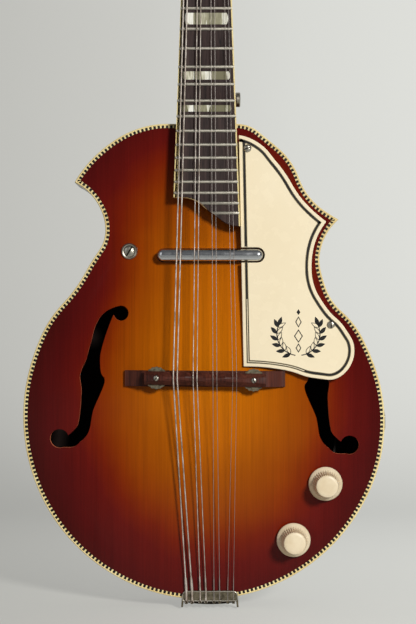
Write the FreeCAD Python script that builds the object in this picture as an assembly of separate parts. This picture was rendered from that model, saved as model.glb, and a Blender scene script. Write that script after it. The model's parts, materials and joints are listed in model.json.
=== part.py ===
import FreeCAD, Part
import math
import os

from FreeCAD import Placement, Rotation, Vector

# An eight-string electric mandolin with a hollow two-horned body, in millimetres.
# X is to the treble side, Z runs up the strings to the headstock, and the front faces -Y.
# A height is measured from the rim plane towards the front, and the origin is at the tail.

# Body
body_width = 246.0
body_length = 323.0
body_depth = 44.0
plate_thickness = 3.0
rim_thickness = 5.0
lining_facets = 44
arch_height = 8.5
back_arch_height = 9.0
arch_side_margin = 21.0
arch_tail_margin = 8.0
arch_neck_margin = 39.0
arch_recurve = 0.55
dome_steps = 8
binding_width = 1.5
neck_block_width = 64.0
neck_block_length = 34.0
end_block_width = 60.0
end_block_length = 20.0
tone_bar_width = 5.0
tone_bar_height = 8.0
tone_bar_length = 200.0
tone_bar_spacing = 56.0
tone_bar_spread = 14.0

# Sound holes
f_hole_length = 96.3
f_hole_side_margin = 24.9
f_hole_eye_z = 109.3
f_hole_drop = 4.4
f_hole_mirror_x = 0.4
lower_eye_radius = 6.4
upper_eye_radius = 5.1

# Strings
scale_length = 352.4
saddle_setback = 172.6
saddle_height = 21.5
bridge_skew = 1.3
bridge_base_skew = 0.3
nut_string_height = 6.5
string_diameters = [1.02, 1.02, 0.66, 0.66, 0.38, 0.38, 0.28, 0.28]
nut_pair_pitch = 7.6
nut_pair_gap = 2.4
bridge_pair_pitch = 13.2
bridge_pair_gap = 2.6
tail_pair_pitch = 9.35
tail_pair_gap = 3.85
string_lift = 5.5
slot_gap = 0.2
running_gap = 0.05
fit_gap = 0.3
overrun = 10.0

# Fingerboard
neck_offset = 1.6
board_nut_width = 27.5
board_end_width = 45.4
board_end_margin = 8.8
board_end_run = 19.4
board_thickness = 5.0
board_tilt = 2.02
board_binding_width = 0.9
fret_count = 20
fret_width = 2.0
fret_crown_width = 0.9
fret_height = 1.0
fret_end_gap = 0.4
nut_thickness = 4.6
nut_rise = 1.0
marker_thickness = 0.8
marker_side_margin = 4.3

# Neck
neck_nut_depth = 12.0
neck_body_depth = 14.0
tongue_width = 30.0
tongue_end_margin = 5.0
tongue_clearance = 1.0
tenon_width = 26.0
tenon_length = 16.0
tenon_bottom = -36.0

# Heel
heel_cap_radius = 10.0
heel_middle_radius = 13.0
heel_top_radius = 30.0
heel_cap_reach = 5.0
heel_middle_height = -20.0
heel_top_height = 3.0
heel_width = 36.0

# Headstock
head_angle = 13.0
head_length = 142.0
head_thickness = 14.0
head_width = 64.0
head_crown = 5.0

# Tuners
tuner_count = 4
tuner_pitch = 23.0
first_tuner = 30.0
post_side_offset = 16.0
post_radius = 3.0
post_rise = 12.0
housing_width = 12.0
housing_height = 9.0
housing_margin = 8.0
housing_bevel = 2.0
key_offset = 6.5
key_radius = 1.6
key_sides = 8
post_sides = 12
key_button_gap = 6.5
button_length = 12.0
button_width = 15.0
button_thickness = 7.0
button_corner = 3.5
button_waist = 5.2

# Bridge
bridge_centre_x = 0.7
bridge_base_length = 108.0
bridge_base_depth = 10.6
bridge_base_height = 13.0
bridge_tip_height = 8.0
bridge_foot_length = 44.0
bridge_tunnel_height = 9.7
saddle_length = 81.0
saddle_foot_depth = 9.0
saddle_crest_depth = 2.2
saddle_flank = 25.0
saddle_end_height = 4.0
saddle_chin = 1.4
saddle_compensation = 0.7
bridge_post_spacing = 65.0
bridge_post_radius = 1.9
bridge_post_depth = 5.5
bridge_post_top = 20.0
thumbwheel_radius = 7.7
thumbwheel_thickness = 2.2
thumbwheel_lift = 1.1
thumbwheel_knurls = 16
knurl_depth = 0.5

# Pickup
pickup_x = 4.3
pickup_setback = 89.5
pickup_length = 71.1
pickup_width = 8.2
pickup_top = 13.0
pickup_bevel = 2.2
pickup_wall = 0.8
pickup_slot_gap = 0.7
pickup_bottom = -8.0
coil_gap = 0.4
bracket_length = 110.0
bracket_width = 12.0
bracket_thickness = 2.0

# Guard
guard_height = 8.0
guard_thickness = 2.2
guard_width = 78.5
guard_length = 164.0
guard_left_x = 23.4
guard_setback = 172.9
guard_pickup_gap = 1.0
spacer_width = 6.0

# Controls
volume_side_margin = 40.8
volume_z = 79.0
tone_side_margin = 62.4
tone_z = 41.0
knob_skirt_radius = 11.4
knob_skirt_height = 3.2
knob_skirt_edge = 1.1
knob_base_radius = 9.6
knob_top_radius = 7.8
knob_height = 17.0
knob_lift = 3.2
knob_flutes = 18
flute_depth = 0.9
shaft_radius = 3.0
shaft_hole_radius = 3.4
pot_radius = 10.0
pot_height = 8.0
pot_sides = 12

# Output jack
jack_z = 119.5
jack_height = -22.0
jack_bore_radius = 3.25
jack_nut_radius = 8.0
jack_nut_thickness = 2.2
jack_sleeve_radius = 5.0
jack_length = 26.0
jack_end_wall = 3.0

# Leads
lead_radius = 0.9
lead_rise = 4.0
lead_sag = 9.0
lead_side = 5.0
pickup_lead_x = 30.0

# Tailpiece
tail_x = 4.0
tail_width = 38.0
tail_thickness = 1.1
tail_reach = 6.2
tail_drop = 34.0
tail_corner = 3.0
hook_width = 1.8
hook_length = 3.4
hook_rise = 2.4
tail_ear_length = 5.0
tail_ear_width = 1.2

# Strap button
strap_button_x = 16.4
strap_button_reach = 13.0
strap_button_height = -12.0
strap_button_radius = 5.0
strap_button_waist = 2.9
strap_button_length = 8.5
strap_button_head = 3.2

# Body outline: X as shares of half the width, Z as shares of the length
lower_bout_shares = [(0.718, 0.117), (0.998, 0.370)]
bass_waist_shares = [(0.900, 0.554), (0.655, 0.688), (0.545, 0.781), (0.600, 0.840)]
treble_waist_shares = [(0.870, 0.554), (0.673, 0.655), (0.640, 0.727)]
bass_shoulder_shares = [(0.624, 0.924), (0.259, 0.999)]
treble_shoulder_shares = [(0.648, 0.822), (0.405, 0.951)]
bass_horn_share = (0.715, 0.877)
treble_horn_share = (0.743, 0.799)
bass_neck_share = (0.155, 1.0)
treble_neck_share = (0.183, 1.0)

# Horn block corners inside the outline, as the outline's shares
bass_block_share = (0.553, 0.811)
treble_block_share = (0.602, 0.743)

# Sound hole edges: shares of its length, from the centre of its lower eye
f_outer_shares = [(0.422, 0.935), (0.328, 0.895), (0.219, 0.665), (0.161, 0.353), (0.108, 0.066),
                  (0.040, 0.010)]
f_inner_shares = [(0.020, -0.062), (0.139, -0.027), (0.252, 0.260), (0.291, 0.599), (0.377, 0.860)]
f_upper_eye_share = (0.436, 0.884)
f_notch_shares = [(0.140, 0.449), (0.235, 0.470), (0.327, 0.428), (0.232, 0.408)]

# Guard edge: shares of its width and length, from its lower left corner
guard_shoulder_shares = [(0.051, 0.995), (0.185, 0.963), (0.331, 0.886), (0.592, 0.711)]
guard_point_share = (0.750, 0.645)
guard_waist_shares = [(0.664, 0.574), (0.625, 0.488), (0.640, 0.392), (0.757, 0.289)]
guard_bout_shares = [(0.907, 0.211), (0.988, 0.133), (0.962, 0.060), (0.845, 0.004)]
guard_foot_shares = [(0.650, 0.004), (0.400, 0.036)]
guard_corner_share = (0.040, 0.051)
guard_screw_shares = [(0.075, 0.946), (0.790, 0.223)]

# Fingerboard end: shares of its width there and of how far its treble side runs on
board_end_shares = [(0.26, 0.05), (0.60, 0.58), (0.84, 0.93)]

# Headstock side, from the nut up: shares of half its width and of its length
head_side_shares = [(0.74, 0.16), (0.95, 0.42), (0.96, 0.93)]

# Markers fill these shares of their spaces, which are counted by the fret at their end
marker_space_shares = {3: 0.60, 5: 0.58, 7: 0.56, 10: 0.47, 12: 0.42}

# How far a unit direction may lean, and how far beyond its oval the arch is drawn
straight_share = 1e-6
arch_reach_share = 0.58

half_width = body_width / 2
arch_width = body_width - 2 * arch_side_margin
arch_length = body_length - arch_tail_margin - arch_neck_margin
arch_centre_z = arch_tail_margin + arch_length / 2
f_hole_eye_x = f_hole_side_margin - half_width
volume_x = half_width - volume_side_margin
tone_x = half_width - tone_side_margin
saddle_z = body_length - saddle_setback
pickup_z = body_length - pickup_setback
guard_bottom_z = body_length - guard_setback
heel_cap_z = body_length + heel_cap_reach
strap_button_z = heel_cap_z + strap_button_reach
nut_z = saddle_z + scale_length
board_end_z = saddle_z + scale_length / 2 ** (fret_count / 12) - board_end_margin
board_bass_end_z = board_end_z + board_end_run
board_slope = math.tan(math.radians(board_tilt))
board_nut_height = board_thickness / math.cos(math.radians(board_tilt))
UP = Vector(0, 0, 1)
RIGHT = Vector(1, 0, 0)
FRONT = Vector(0, -1, 0)
LEAN = Vector(0.3, -1, 0.2)


def at(x, z, height=0):
    return Vector(x, -height, z)


def tangents(points, first, last):
    """A direction at each point, from its neighbours, unless an end's direction is given."""
    found = []
    for before, here, after in zip(points, points[1:], points[2:]):
        back = here - before
        ahead = after - here
        found.append((back * (ahead.Length / back.Length) + ahead * (back.Length / ahead.Length)).normalize())
    if first is None:
        chord = (points[1] - points[0]).normalize()
        first = chord * (2 * chord.dot(found[0])) - found[0]
    if last is None:
        chord = (points[-1] - points[-2]).normalize()
        last = chord * (2 * chord.dot(found[-1])) - found[-1]
    return [first] + found + [last]


def arc_edge(start, direction, end):
    """The arc that leaves start along direction and ends at end."""
    chord = end - start
    aside = direction - chord * (direction.dot(chord) / chord.dot(chord))
    if aside.Length < straight_share:
        return Part.makeLine(start, end)
    bulge = chord.Length / 2 * math.tan(direction.getAngle(chord) / 2)
    return Part.Arc(start, start + chord * 0.5 + aside.normalize() * bulge, end).toShape()


def smooth_edges(points, first=None, last=None):
    """Arcs that run smoothly through the points, two for each span."""
    edges = []
    directions = tangents(points, first, last)
    for start, end, leave, arrive in zip(points, points[1:], directions, directions[1:]):
        chord = end - start
        spread = 2 * (1 - leave.dot(arrive))
        along = 2 * chord.dot(leave + arrive)
        if spread < straight_share ** 2:
            reach = chord.dot(chord) / along
        else:
            reach = (math.sqrt(along * along + 4 * spread * chord.dot(chord)) - along) / (2 * spread)
        middle = (start + leave * reach + end - arrive * reach) * 0.5
        edges.append(arc_edge(start, leave, middle))
        edges.append(arc_edge(end, arrive * -1, middle))
    return edges


def face_of(edges):
    return Part.Face(Part.Wire(Part.__sortEdges__(edges)))


def polygon(points):
    return Part.Face(Part.makePolygon(points + points[:1]))


def slab(face, low, high):
    """A solid between two heights, over a face drawn at height 0."""
    return face.translated(at(0, 0, low)).extrude(at(0, 0, high) - at(0, 0, low))


def peg(x, z, radius, low, high):
    """A round bar along the front-to-back direction, between two heights."""
    return Part.makeCylinder(radius, high - low, at(x, z, low), FRONT)


def rod(x, z, height, radius, length):
    """A round bar to the right from a place."""
    return Part.makeCylinder(radius, length, at(x, z, height), RIGHT)


def block(left, right, bottom, top, low, high):
    """A box given by its sides, its ends and its heights."""
    return Part.makeBox(right - left, high - low, top - bottom, Vector(left, -high, bottom))


def whole(shape):
    """The one solid in a result."""
    solids = shape.removeSplitter().Solids
    if len(solids) != 1:
        raise ValueError("a piece came out as " + str(len(solids)) + " solids")
    return solids[0]


def prism(x, z, radius, sides, low, high):
    """A straight-sided bar along the front-to-back direction."""
    turn = 2 * math.pi / sides
    corners = [at(x + radius * math.cos(turn * k), z + radius * math.sin(turn * k)) for k in range(sides)]
    return slab(polygon(corners), low, high)


def facets(sections):
    """A solid with flat sides between closed lines of as many points each."""
    faces = [polygon(sections[0]), polygon(sections[-1])]
    for near, far in zip(sections, sections[1:]):
        for k in range(len(near)):
            faces.append(polygon([near[k - 1], near[k], far[k], far[k - 1]]))
    return Part.Solid(Part.Shell(faces))


def star(radius, depth, count):
    """Points round a circle that alternate between two radii."""
    points = []
    for k in range(2 * count):
        angle = math.pi * k / count
        reach = radius - depth * (k % 2)
        points.append(at(reach * math.cos(angle), reach * math.sin(angle)))
    return points


def body_point(share, side):
    return at(side * share[0] * half_width, share[1] * body_length)


def body_outline():
    """The edge of the body as one face at the rim plane."""
    sides = []
    for side, waist, shoulder, horn, neck in (
            (-1, bass_waist_shares, bass_shoulder_shares, bass_horn_share, bass_neck_share),
            (1, treble_waist_shares, treble_shoulder_shares, treble_horn_share, treble_neck_share)):
        lower = [body_point(s, side) for s in lower_bout_shares + waist + [horn]]
        upper = [body_point(s, side) for s in [horn] + shoulder + [neck]]
        sides += smooth_edges([at(0, 0)] + lower, Vector(side, 0, 0))
        sides += smooth_edges(upper, None, Vector(-side, 0, 0))
    sides.append(Part.makeLine(body_point(bass_neck_share, -1), body_point(treble_neck_share, 1)))
    return face_of(sides)


def inset(face, distance):
    return face.makeOffset2D(-distance)


def arch_rise(x, z, height):
    """How far the arch stands up at a place, flattening towards its oval foot."""
    reach = (2 * x / arch_width) ** 2 + (2 * (z - arch_centre_z) / arch_length) ** 2
    return height * (1 - reach) * (1 - arch_recurve * reach)


def dome(height, side, foot):
    """The part of an arch that stands over its foot; side 1 is for the top and -1 for the back."""
    grid = []
    for i in range(dome_steps + 1):
        x = arch_width * arch_reach_share * (2 * i / dome_steps - 1)
        line = []
        for k in range(dome_steps + 1):
            z = arch_centre_z + arch_length * arch_reach_share * (2 * k / dome_steps - 1)
            line.append(Vector(x, -side * arch_rise(x, z, height), z))
        grid.append(line)
    surface = Part.BSplineSurface()
    surface.interpolate(grid)
    under = surface.toShape().extrude(Vector(0, side * 2 * height, 0))
    room = slab(foot, 0, 2 * height) if side > 0 else slab(foot, -2 * height, 0)
    return max(under.common(room).Solids, key=lambda s: s.Volume)


OUTLINE = body_outline()
PLATE = inset(OUTLINE, binding_width)
RIM_INSIDE = polygon(inset(OUTLINE, rim_thickness).OuterWire.discretize(Number=lining_facets + 1)[:-1])
TOP_DOME = dome(arch_height, 1, PLATE)
TOP_BLOCK = slab(OUTLINE, -overrun, 0).fuse(TOP_DOME)
TOP_HOLLOW = dome(arch_height, 1, RIM_INSIDE).translated(at(0, 0, -plate_thickness))
BODY_ROOM = slab(RIM_INSIDE, plate_thickness - body_depth, -plate_thickness).fuse(TOP_HOLLOW)


def f_hole():
    """The bass sound hole as a prism through the top."""
    eye = at(f_hole_eye_x, f_hole_eye_z)

    def place(share):
        return eye + at(share[0] * f_hole_length, share[1] * f_hole_length)

    outer = [place(s) for s in f_outer_shares]
    inner = [place(s) for s in f_inner_shares]
    edges = smooth_edges(outer) + smooth_edges(inner)
    edges.append(Part.makeLine(outer[0], inner[-1]))
    edges.append(Part.makeLine(outer[-1], inner[0]))
    low = -plate_thickness - overrun
    high = arch_height + overrun
    upper = place(f_upper_eye_share)
    parts = [peg(eye.x, eye.z, lower_eye_radius, low, high),
             peg(upper.x, upper.z, upper_eye_radius, low, high),
             slab(polygon([place(s) for s in f_notch_shares]), low, high)]
    return slab(face_of(edges), low, high).fuse(parts)


def treble_f_hole(hole):
    return hole.mirror(Vector(f_hole_mirror_x, 0, 0), RIGHT).translated(at(0, -f_hole_drop))


def long_face(length, width):
    """The pickup's outline: a bar with round ends."""
    radius = width / 2
    left = at(pickup_x - length / 2 + radius, pickup_z)
    right = at(pickup_x + length / 2 - radius, pickup_z)
    return face_of([
        Part.makeLine(left + UP * radius, right + UP * radius),
        Part.Arc(right + UP * radius, right + RIGHT * radius, right - UP * radius).toShape(),
        Part.makeLine(right - UP * radius, left - UP * radius),
        Part.Arc(left - UP * radius, left - RIGHT * radius, left + UP * radius).toShape(),
    ])


def pickup_slot(gap, low, high):
    return slab(long_face(pickup_length + 2 * gap, pickup_width + 2 * gap), low, high)


def pot_places():
    return [(volume_x, volume_z), (tone_x, tone_z)]


def make_top_plate():
    """The arched top, even in thickness, with its sound holes, pickup slot and control holes."""
    low = -plate_thickness - overrun
    high = arch_height + overrun
    plate = slab(PLATE, -plate_thickness, 0).fuse(TOP_DOME).cut(TOP_HOLLOW)
    hole = f_hole()
    cuts = [hole, treble_f_hole(hole), pickup_slot(pickup_slot_gap, low, high)]
    cuts += [peg(x, z, shaft_hole_radius, low, high) for x, z in pot_places()]
    return whole(plate.cut(cuts))


def make_back_plate():
    arch = dome(back_arch_height, -1, OUTLINE).translated(at(0, 0, -body_depth))
    plate = slab(OUTLINE, -body_depth, plate_thickness - body_depth).fuse(arch)
    return whole(plate.cut(arch.translated(at(0, 0, plate_thickness))))


def make_rim():
    """Four bent sides with their kerfed linings, which meet at the tail, the neck and the horns' points."""
    low = plate_thickness - body_depth
    high = -plate_thickness
    ring = slab(OUTLINE.cut(RIM_INSIDE), low, high).cut([tenon_block(), jack_hole()])
    bass = bass_horn_share[1] * body_length
    treble = treble_horn_share[1] * body_length
    rooms = [block(-half_width, 0, 0, bass, low, high), block(-half_width, 0, bass, body_length, low, high),
             block(0, half_width, 0, treble, low, high), block(0, half_width, treble, body_length, low, high)]
    return Part.Compound([whole(ring.common(room)) for room in rooms])


def make_binding(low, high):
    return whole(slab(OUTLINE.cut(PLATE), low, high))


def make_body_blocks():
    """The neck block with its pocket, the end block and a block in each horn."""
    low = plate_thickness - body_depth
    high = -plate_thickness
    inside = slab(RIM_INSIDE, low, high)
    bass = body_point(bass_block_share, -1)
    treble = body_point(treble_block_share, 1)
    boxes = [
        block(neck_offset - neck_block_width / 2, neck_offset + neck_block_width / 2,
              body_length - neck_block_length, body_length, low, high).cut(tenon_block()),
        block(-end_block_width / 2, end_block_width / 2, 0, end_block_length, low, high),
        block(-half_width, bass.x, bass.z, body_length, low, high),
        block(treble.x, half_width, treble.z, body_length, low, high),
    ]
    return Part.Compound([whole(inside.common(box)) for box in boxes])


def make_tone_bars():
    """Two bars glued along the inside of the top, spread a little towards the tail."""
    clear = block(-half_width, half_width, pickup_z - bracket_width, body_length, -body_depth, arch_height)
    bars = []
    for side in (-1, 1):
        lower = side * (tone_bar_spacing + tone_bar_spread) / 2
        upper = side * (tone_bar_spacing - tone_bar_spread) / 2
        top = arch_centre_z + tone_bar_length / 2
        bottom = arch_centre_z - tone_bar_length / 2
        half = tone_bar_width / 2
        foot = polygon([at(lower - half, bottom), at(lower + half, bottom),
                        at(upper + half, top), at(upper - half, top)])
        bar = slab(foot, -plate_thickness - tone_bar_height / 2, arch_height)
        bars.append(whole(bar.cut(clear).common(BODY_ROOM)))
    return Part.Compound(bars)


def tenon_block():
    return block(neck_offset - tenon_width / 2, neck_offset + tenon_width / 2,
                 body_length - tenon_length, body_length + overrun, tenon_bottom, -plate_thickness)


BOARD = Placement(at(neck_offset, nut_z, board_nut_height), Rotation(RIGHT, -board_tilt))
HEAD = Placement(at(neck_offset, nut_z + nut_thickness, -nut_thickness * board_slope),
                 Rotation(RIGHT, -head_angle))


def on_board(shape):
    """Moves a shape from the flat board frame, whose origin is the board's top at the nut."""
    return shape.transformed(BOARD.toMatrix())


def on_head(shape):
    """Moves a shape from the headstock frame, whose origin is on the wood behind the nut."""
    return shape.transformed(HEAD.toMatrix())


def board_half_width(down):
    """Half the fingerboard's width at a distance down from the nut."""
    taper = (board_end_width - board_nut_width) / (nut_z - board_end_z)
    return (board_nut_width + taper * down) / 2


def neck_height(z):
    """The height of the neck's flat under the fingerboard at a place along the strings."""
    return (nut_z - z) * board_slope


def up_to_nut(shape):
    """A shape on the board, trimmed flush with the nut's face."""
    return shape.cut(block(-half_width, half_width, nut_z, nut_z + 2 * overrun, -body_depth, body_depth))


def board_face(shrink):
    """The fingerboard's outline in its own frame, narrowed by a margin on both sides."""
    bass_down = nut_z - board_bass_end_z
    treble_down = nut_z - board_end_z
    bass = at(shrink - board_half_width(bass_down), -bass_down)
    treble = at(board_half_width(treble_down) - shrink, -treble_down)
    across = treble - bass
    between = [bass + Vector(across.x * s[0], 0, across.z * s[1]) for s in board_end_shares]
    top = board_half_width(-overrun) - shrink
    edges = smooth_edges([bass] + between + [treble], RIGHT, RIGHT)
    edges += [Part.makeLine(treble, at(top, overrun)), Part.makeLine(at(top, overrun), at(-top, overrun)),
              Part.makeLine(at(-top, overrun), bass)]
    return face_of(edges)


def fret_down(number):
    """The distance from the nut to a fret."""
    return scale_length * (1 - 2 ** (-number / 12))


def marker_inlays():
    inlays = []
    for fret, share in marker_space_shares.items():
        near = fret_down(fret - 1)
        far = fret_down(fret)
        half = (far - near) * share / 2
        middle = -(near + far) / 2
        reach = board_half_width(far) - marker_side_margin
        inlays.append(block(-reach, reach, middle - half, middle + half, -marker_thickness, 0))
    return inlays


def make_fingerboard():
    board = slab(board_face(board_binding_width), -board_thickness, 0)
    return whole(up_to_nut(on_board(board.cut(marker_inlays()))))


def make_board_binding():
    strips = board_face(0).cut(board_face(board_binding_width))
    return Part.Compound(up_to_nut(on_board(slab(strips, -board_thickness, 0))).Solids)


def make_position_markers():
    return Part.Compound([on_board(inlay) for inlay in marker_inlays()])


def make_frets():
    """Crowned wires across the board, trimmed by its shaped end."""
    area = slab(board_face(fret_end_gap), 0, fret_height + overrun)
    foot = fret_width / 2
    crown = fret_crown_width / 2
    wires = []
    for number in range(1, fret_count + 1):
        down = fret_down(number)
        half = board_half_width(down)
        profile = [at(-half, -down - foot), at(-half, -down - foot, fret_height / 2),
                   at(-half, -down - crown, fret_height), at(-half, crown - down, fret_height),
                   at(-half, foot - down, fret_height / 2), at(-half, foot - down)]
        wires.append(whole(on_board(polygon(profile).extrude(RIGHT * (2 * half)).common(area))))
    return Part.Compound(wires)


def string_places(pitch, gap, centre):
    """The eight string places across, from the bass side."""
    places = []
    for pair in (-1.5, -0.5, 0.5, 1.5):
        middle = centre + pair * pitch
        places += [middle - gap / 2, middle + gap / 2]
    return places


def make_nut():
    """A bone bar behind the fingerboard's end, slotted for the strings."""
    half = board_half_width(0)
    top = nut_string_height + nut_rise
    outline = [at(-half, 0, -overrun), at(half, 0, -overrun), at(half, 0, board_nut_height),
               at(half - nut_rise, 0, top), at(nut_rise - half, 0, top), at(-half, 0, board_nut_height)]
    nut = polygon(outline).extrude(UP * nut_thickness).translated(at(neck_offset, nut_z)).cut(under_board())
    for x, width in zip(string_places(nut_pair_pitch, nut_pair_gap, neck_offset), string_diameters):
        reach = width / 2 + slot_gap
        nut = nut.cut(block(x - reach, x + reach, nut_z - overrun, nut_z + overrun,
                            nut_string_height - width / 2 - running_gap, nut_string_height + overrun))
    return whole(nut)


def under_board():
    """The room under the plane where the fingerboard and the nut meet the neck."""
    return on_board(block(-half_width, half_width, -scale_length, scale_length,
                          -body_length, -board_thickness))


def back_radius(down, depth):
    """The radius of the neck's round back, from the board's width and the neck's depth."""
    return (board_half_width(down) ** 2 + depth ** 2) / (2 * depth)


def make_shaft_blank():
    """The neck's tapering round back, cut flat under the fingerboard and the nut."""
    ends = []
    for down in (-overrun, nut_z - body_length + overrun):
        depth = neck_nut_depth + (neck_body_depth - neck_nut_depth) * down / (nut_z - body_length)
        radius = back_radius(down, depth)
        ends.append((radius, at(0, -down, radius - board_thickness - depth)))
    (near, start), (far, end) = ends
    cone = on_board(Part.makeCone(near, far, (end - start).Length, start, end - start))
    room = block(-half_width, half_width, body_length, nut_z + nut_thickness, -body_depth, body_depth)
    return cone.common(under_board()).common(room)


def make_heel():
    """A heel that flares up to the neck, round in front and flat against the body."""
    corners = [(0, -body_depth), (heel_cap_radius, -body_depth), (heel_middle_radius, heel_middle_height),
               (heel_top_radius, heel_top_height), (0, heel_top_height)]
    half = polygon([at(neck_offset + x, heel_cap_z, height) for x, height in corners])
    front = half.revolve(at(neck_offset, heel_cap_z), FRONT, 360)
    root = half.fuse(half.mirror(at(neck_offset, heel_cap_z), RIGHT)).extrude(UP * (body_length - heel_cap_z))
    side = heel_width / 2
    room = block(neck_offset - side, neck_offset + side, body_length, nut_z, -body_depth, heel_top_height)
    return front.fuse(root).common(room)


def make_neck():
    """Shaft, heel, tongue over the body and tenon, with the headstock in one piece."""
    end = board_bass_end_z + tongue_end_margin
    far = body_length + overrun
    tongue = polygon([
        Vector(0, -arch_rise(neck_offset, end, arch_height) - tongue_clearance, end),
        Vector(0, -neck_height(end), end),
        Vector(0, -neck_height(far), far),
        Vector(0, -tongue_clearance, far),
        Vector(0, -tongue_clearance, body_length)])
    tongue = tongue.extrude(RIGHT * tongue_width).translated(at(neck_offset - tongue_width / 2, 0))
    head = slab(head_face(), -head_thickness, 0)
    hole = (post_radius + running_gap) / math.cos(math.pi / post_sides)
    head = head.cut([prism(side * post_side_offset, up, hole, post_sides, -head_thickness - overrun, overrun)
                     for side, up in tuner_places()])
    strap_seat = rod(strap_button_x, strap_button_z, strap_button_height,
                     strap_button_waist + fit_gap, half_width)
    return whole(make_shaft_blank().fuse([make_heel(), tongue, tenon_block(), on_head(head)]).cut(strap_seat))


def head_face():
    """The headstock's outline: a plain paddle with a shallow crown."""
    half = head_width / 2
    right = [at(board_half_width(0), 0)] + [at(s[0] * half, s[1] * head_length) for s in head_side_shares]
    left = [Vector(-p.x, p.y, p.z) for p in right]
    edges = smooth_edges(right, UP) + smooth_edges(left, UP)
    edges.append(Part.Arc(right[-1], at(0, right[-1].z + head_crown), left[-1]).toShape())
    edges.append(Part.makeLine(left[0], right[0]))
    return face_of(edges)


def tuner_places():
    """The posts in the headstock frame, as (side, place up the head)."""
    return [(side, first_tuner + tuner_pitch * i) for side in (-1, 1) for i in range(tuner_count)]


def key_height():
    """The height of a tuner key's axis over the headstock's face."""
    return -head_thickness - housing_height / 2


def make_tuner_housing(side):
    """A long closed gear housing on the back of the headstock."""
    x = side * post_side_offset
    low = first_tuner - housing_margin
    high = first_tuner + tuner_pitch * (tuner_count - 1) + key_offset + housing_margin
    half = housing_width / 2
    back = -head_thickness - housing_height
    profile = [at(x - half, low, -head_thickness), at(x + half, low, -head_thickness),
               at(x + half, low, back + housing_bevel), at(x + half - housing_bevel, low, back),
               at(x - half + housing_bevel, low, back), at(x - half, low, back + housing_bevel)]
    return on_head(polygon(profile).extrude(UP * (high - low)))


def make_tuner_key(side, up):
    """A shaft from the gear housing and a flat button with clipped corners, which turn together."""
    start = side * (post_side_offset + housing_width / 2)
    end = side * (head_width / 2 + key_button_gap)
    up = up + key_offset
    turn = 2 * math.pi / key_sides
    corners = [at(start, up + key_radius * math.cos(turn * k), key_height() + key_radius * math.sin(turn * k))
               for k in range(key_sides)]
    shaft = polygon(corners).extrude(RIGHT * (end - start))
    far = end + side * button_length
    corner = side * button_corner
    low = up - button_width / 2
    high = up + button_width / 2
    face = polygon([at(end + corner, low), at(far - corner, low), at(far, low + button_corner),
                    at(far, high - button_corner), at(far - corner, high), at(end + corner, high),
                    at(end, high - button_waist), at(end, low + button_waist)])
    button = slab(face, key_height() - button_thickness / 2, key_height() + button_thickness / 2)
    return Part.Compound([on_head(shaft), on_head(button)])


def make_tuner_post(side, up):
    """A string post through the headstock, standing on its gear housing."""
    return on_head(prism(side * post_side_offset, up, post_radius, post_sides, -head_thickness, post_rise))


def skewed(shape, angle=bridge_skew):
    """Turns a bridge piece about the bridge's centre, its bass end up the strings."""
    return shape.rotated(at(bridge_centre_x, saddle_z), FRONT, -angle)


def saddle_bottom():
    return bridge_base_height + thumbwheel_lift + thumbwheel_thickness


def bridge_post_places():
    return [bridge_centre_x - bridge_post_spacing / 2, bridge_centre_x + bridge_post_spacing / 2]


def end_curve(outer, inner, low, high):
    """An S curve in the bridge's end, from a low outer point to a high inner one."""
    level = Vector(inner - outer, 0, 0).normalize()
    middle = at((outer + inner) / 2, 0, (low + high) / 2)
    return smooth_edges([at(outer, 0, low), middle, at(inner, 0, high)], level, level)


def make_bridge_base():
    """A bar on two feet that follow the arch, curved down at both ends."""
    reach = bridge_base_length / 2
    shoulder = bridge_post_spacing / 2 + thumbwheel_radius
    edges = [Part.makeLine(at(-reach, 0), at(reach, 0)),
             Part.makeLine(at(-shoulder, 0, bridge_base_height), at(shoulder, 0, bridge_base_height))]
    for side in (-1, 1):
        edges.append(Part.makeLine(at(side * reach, 0), at(side * reach, 0, bridge_tip_height)))
        edges += end_curve(side * reach, side * shoulder, bridge_tip_height, bridge_base_height)
    bar = face_of(edges).extrude(UP * bridge_base_depth)
    bar = bar.translated(at(bridge_centre_x, saddle_z - bridge_base_depth / 2))
    gap = reach - bridge_foot_length
    bar = bar.cut(block(bridge_centre_x - gap, bridge_centre_x + gap, 0, body_length,
                        0, bridge_tunnel_height))
    bar = skewed(bar, bridge_base_skew).cut(TOP_BLOCK)
    bottom = bridge_base_height - bridge_post_depth
    for x in bridge_post_places():
        hole = peg(x, saddle_z, bridge_post_radius, bottom, bridge_base_height + overrun)
        bar = bar.cut(skewed(hole))
    return whole(bar)


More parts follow.
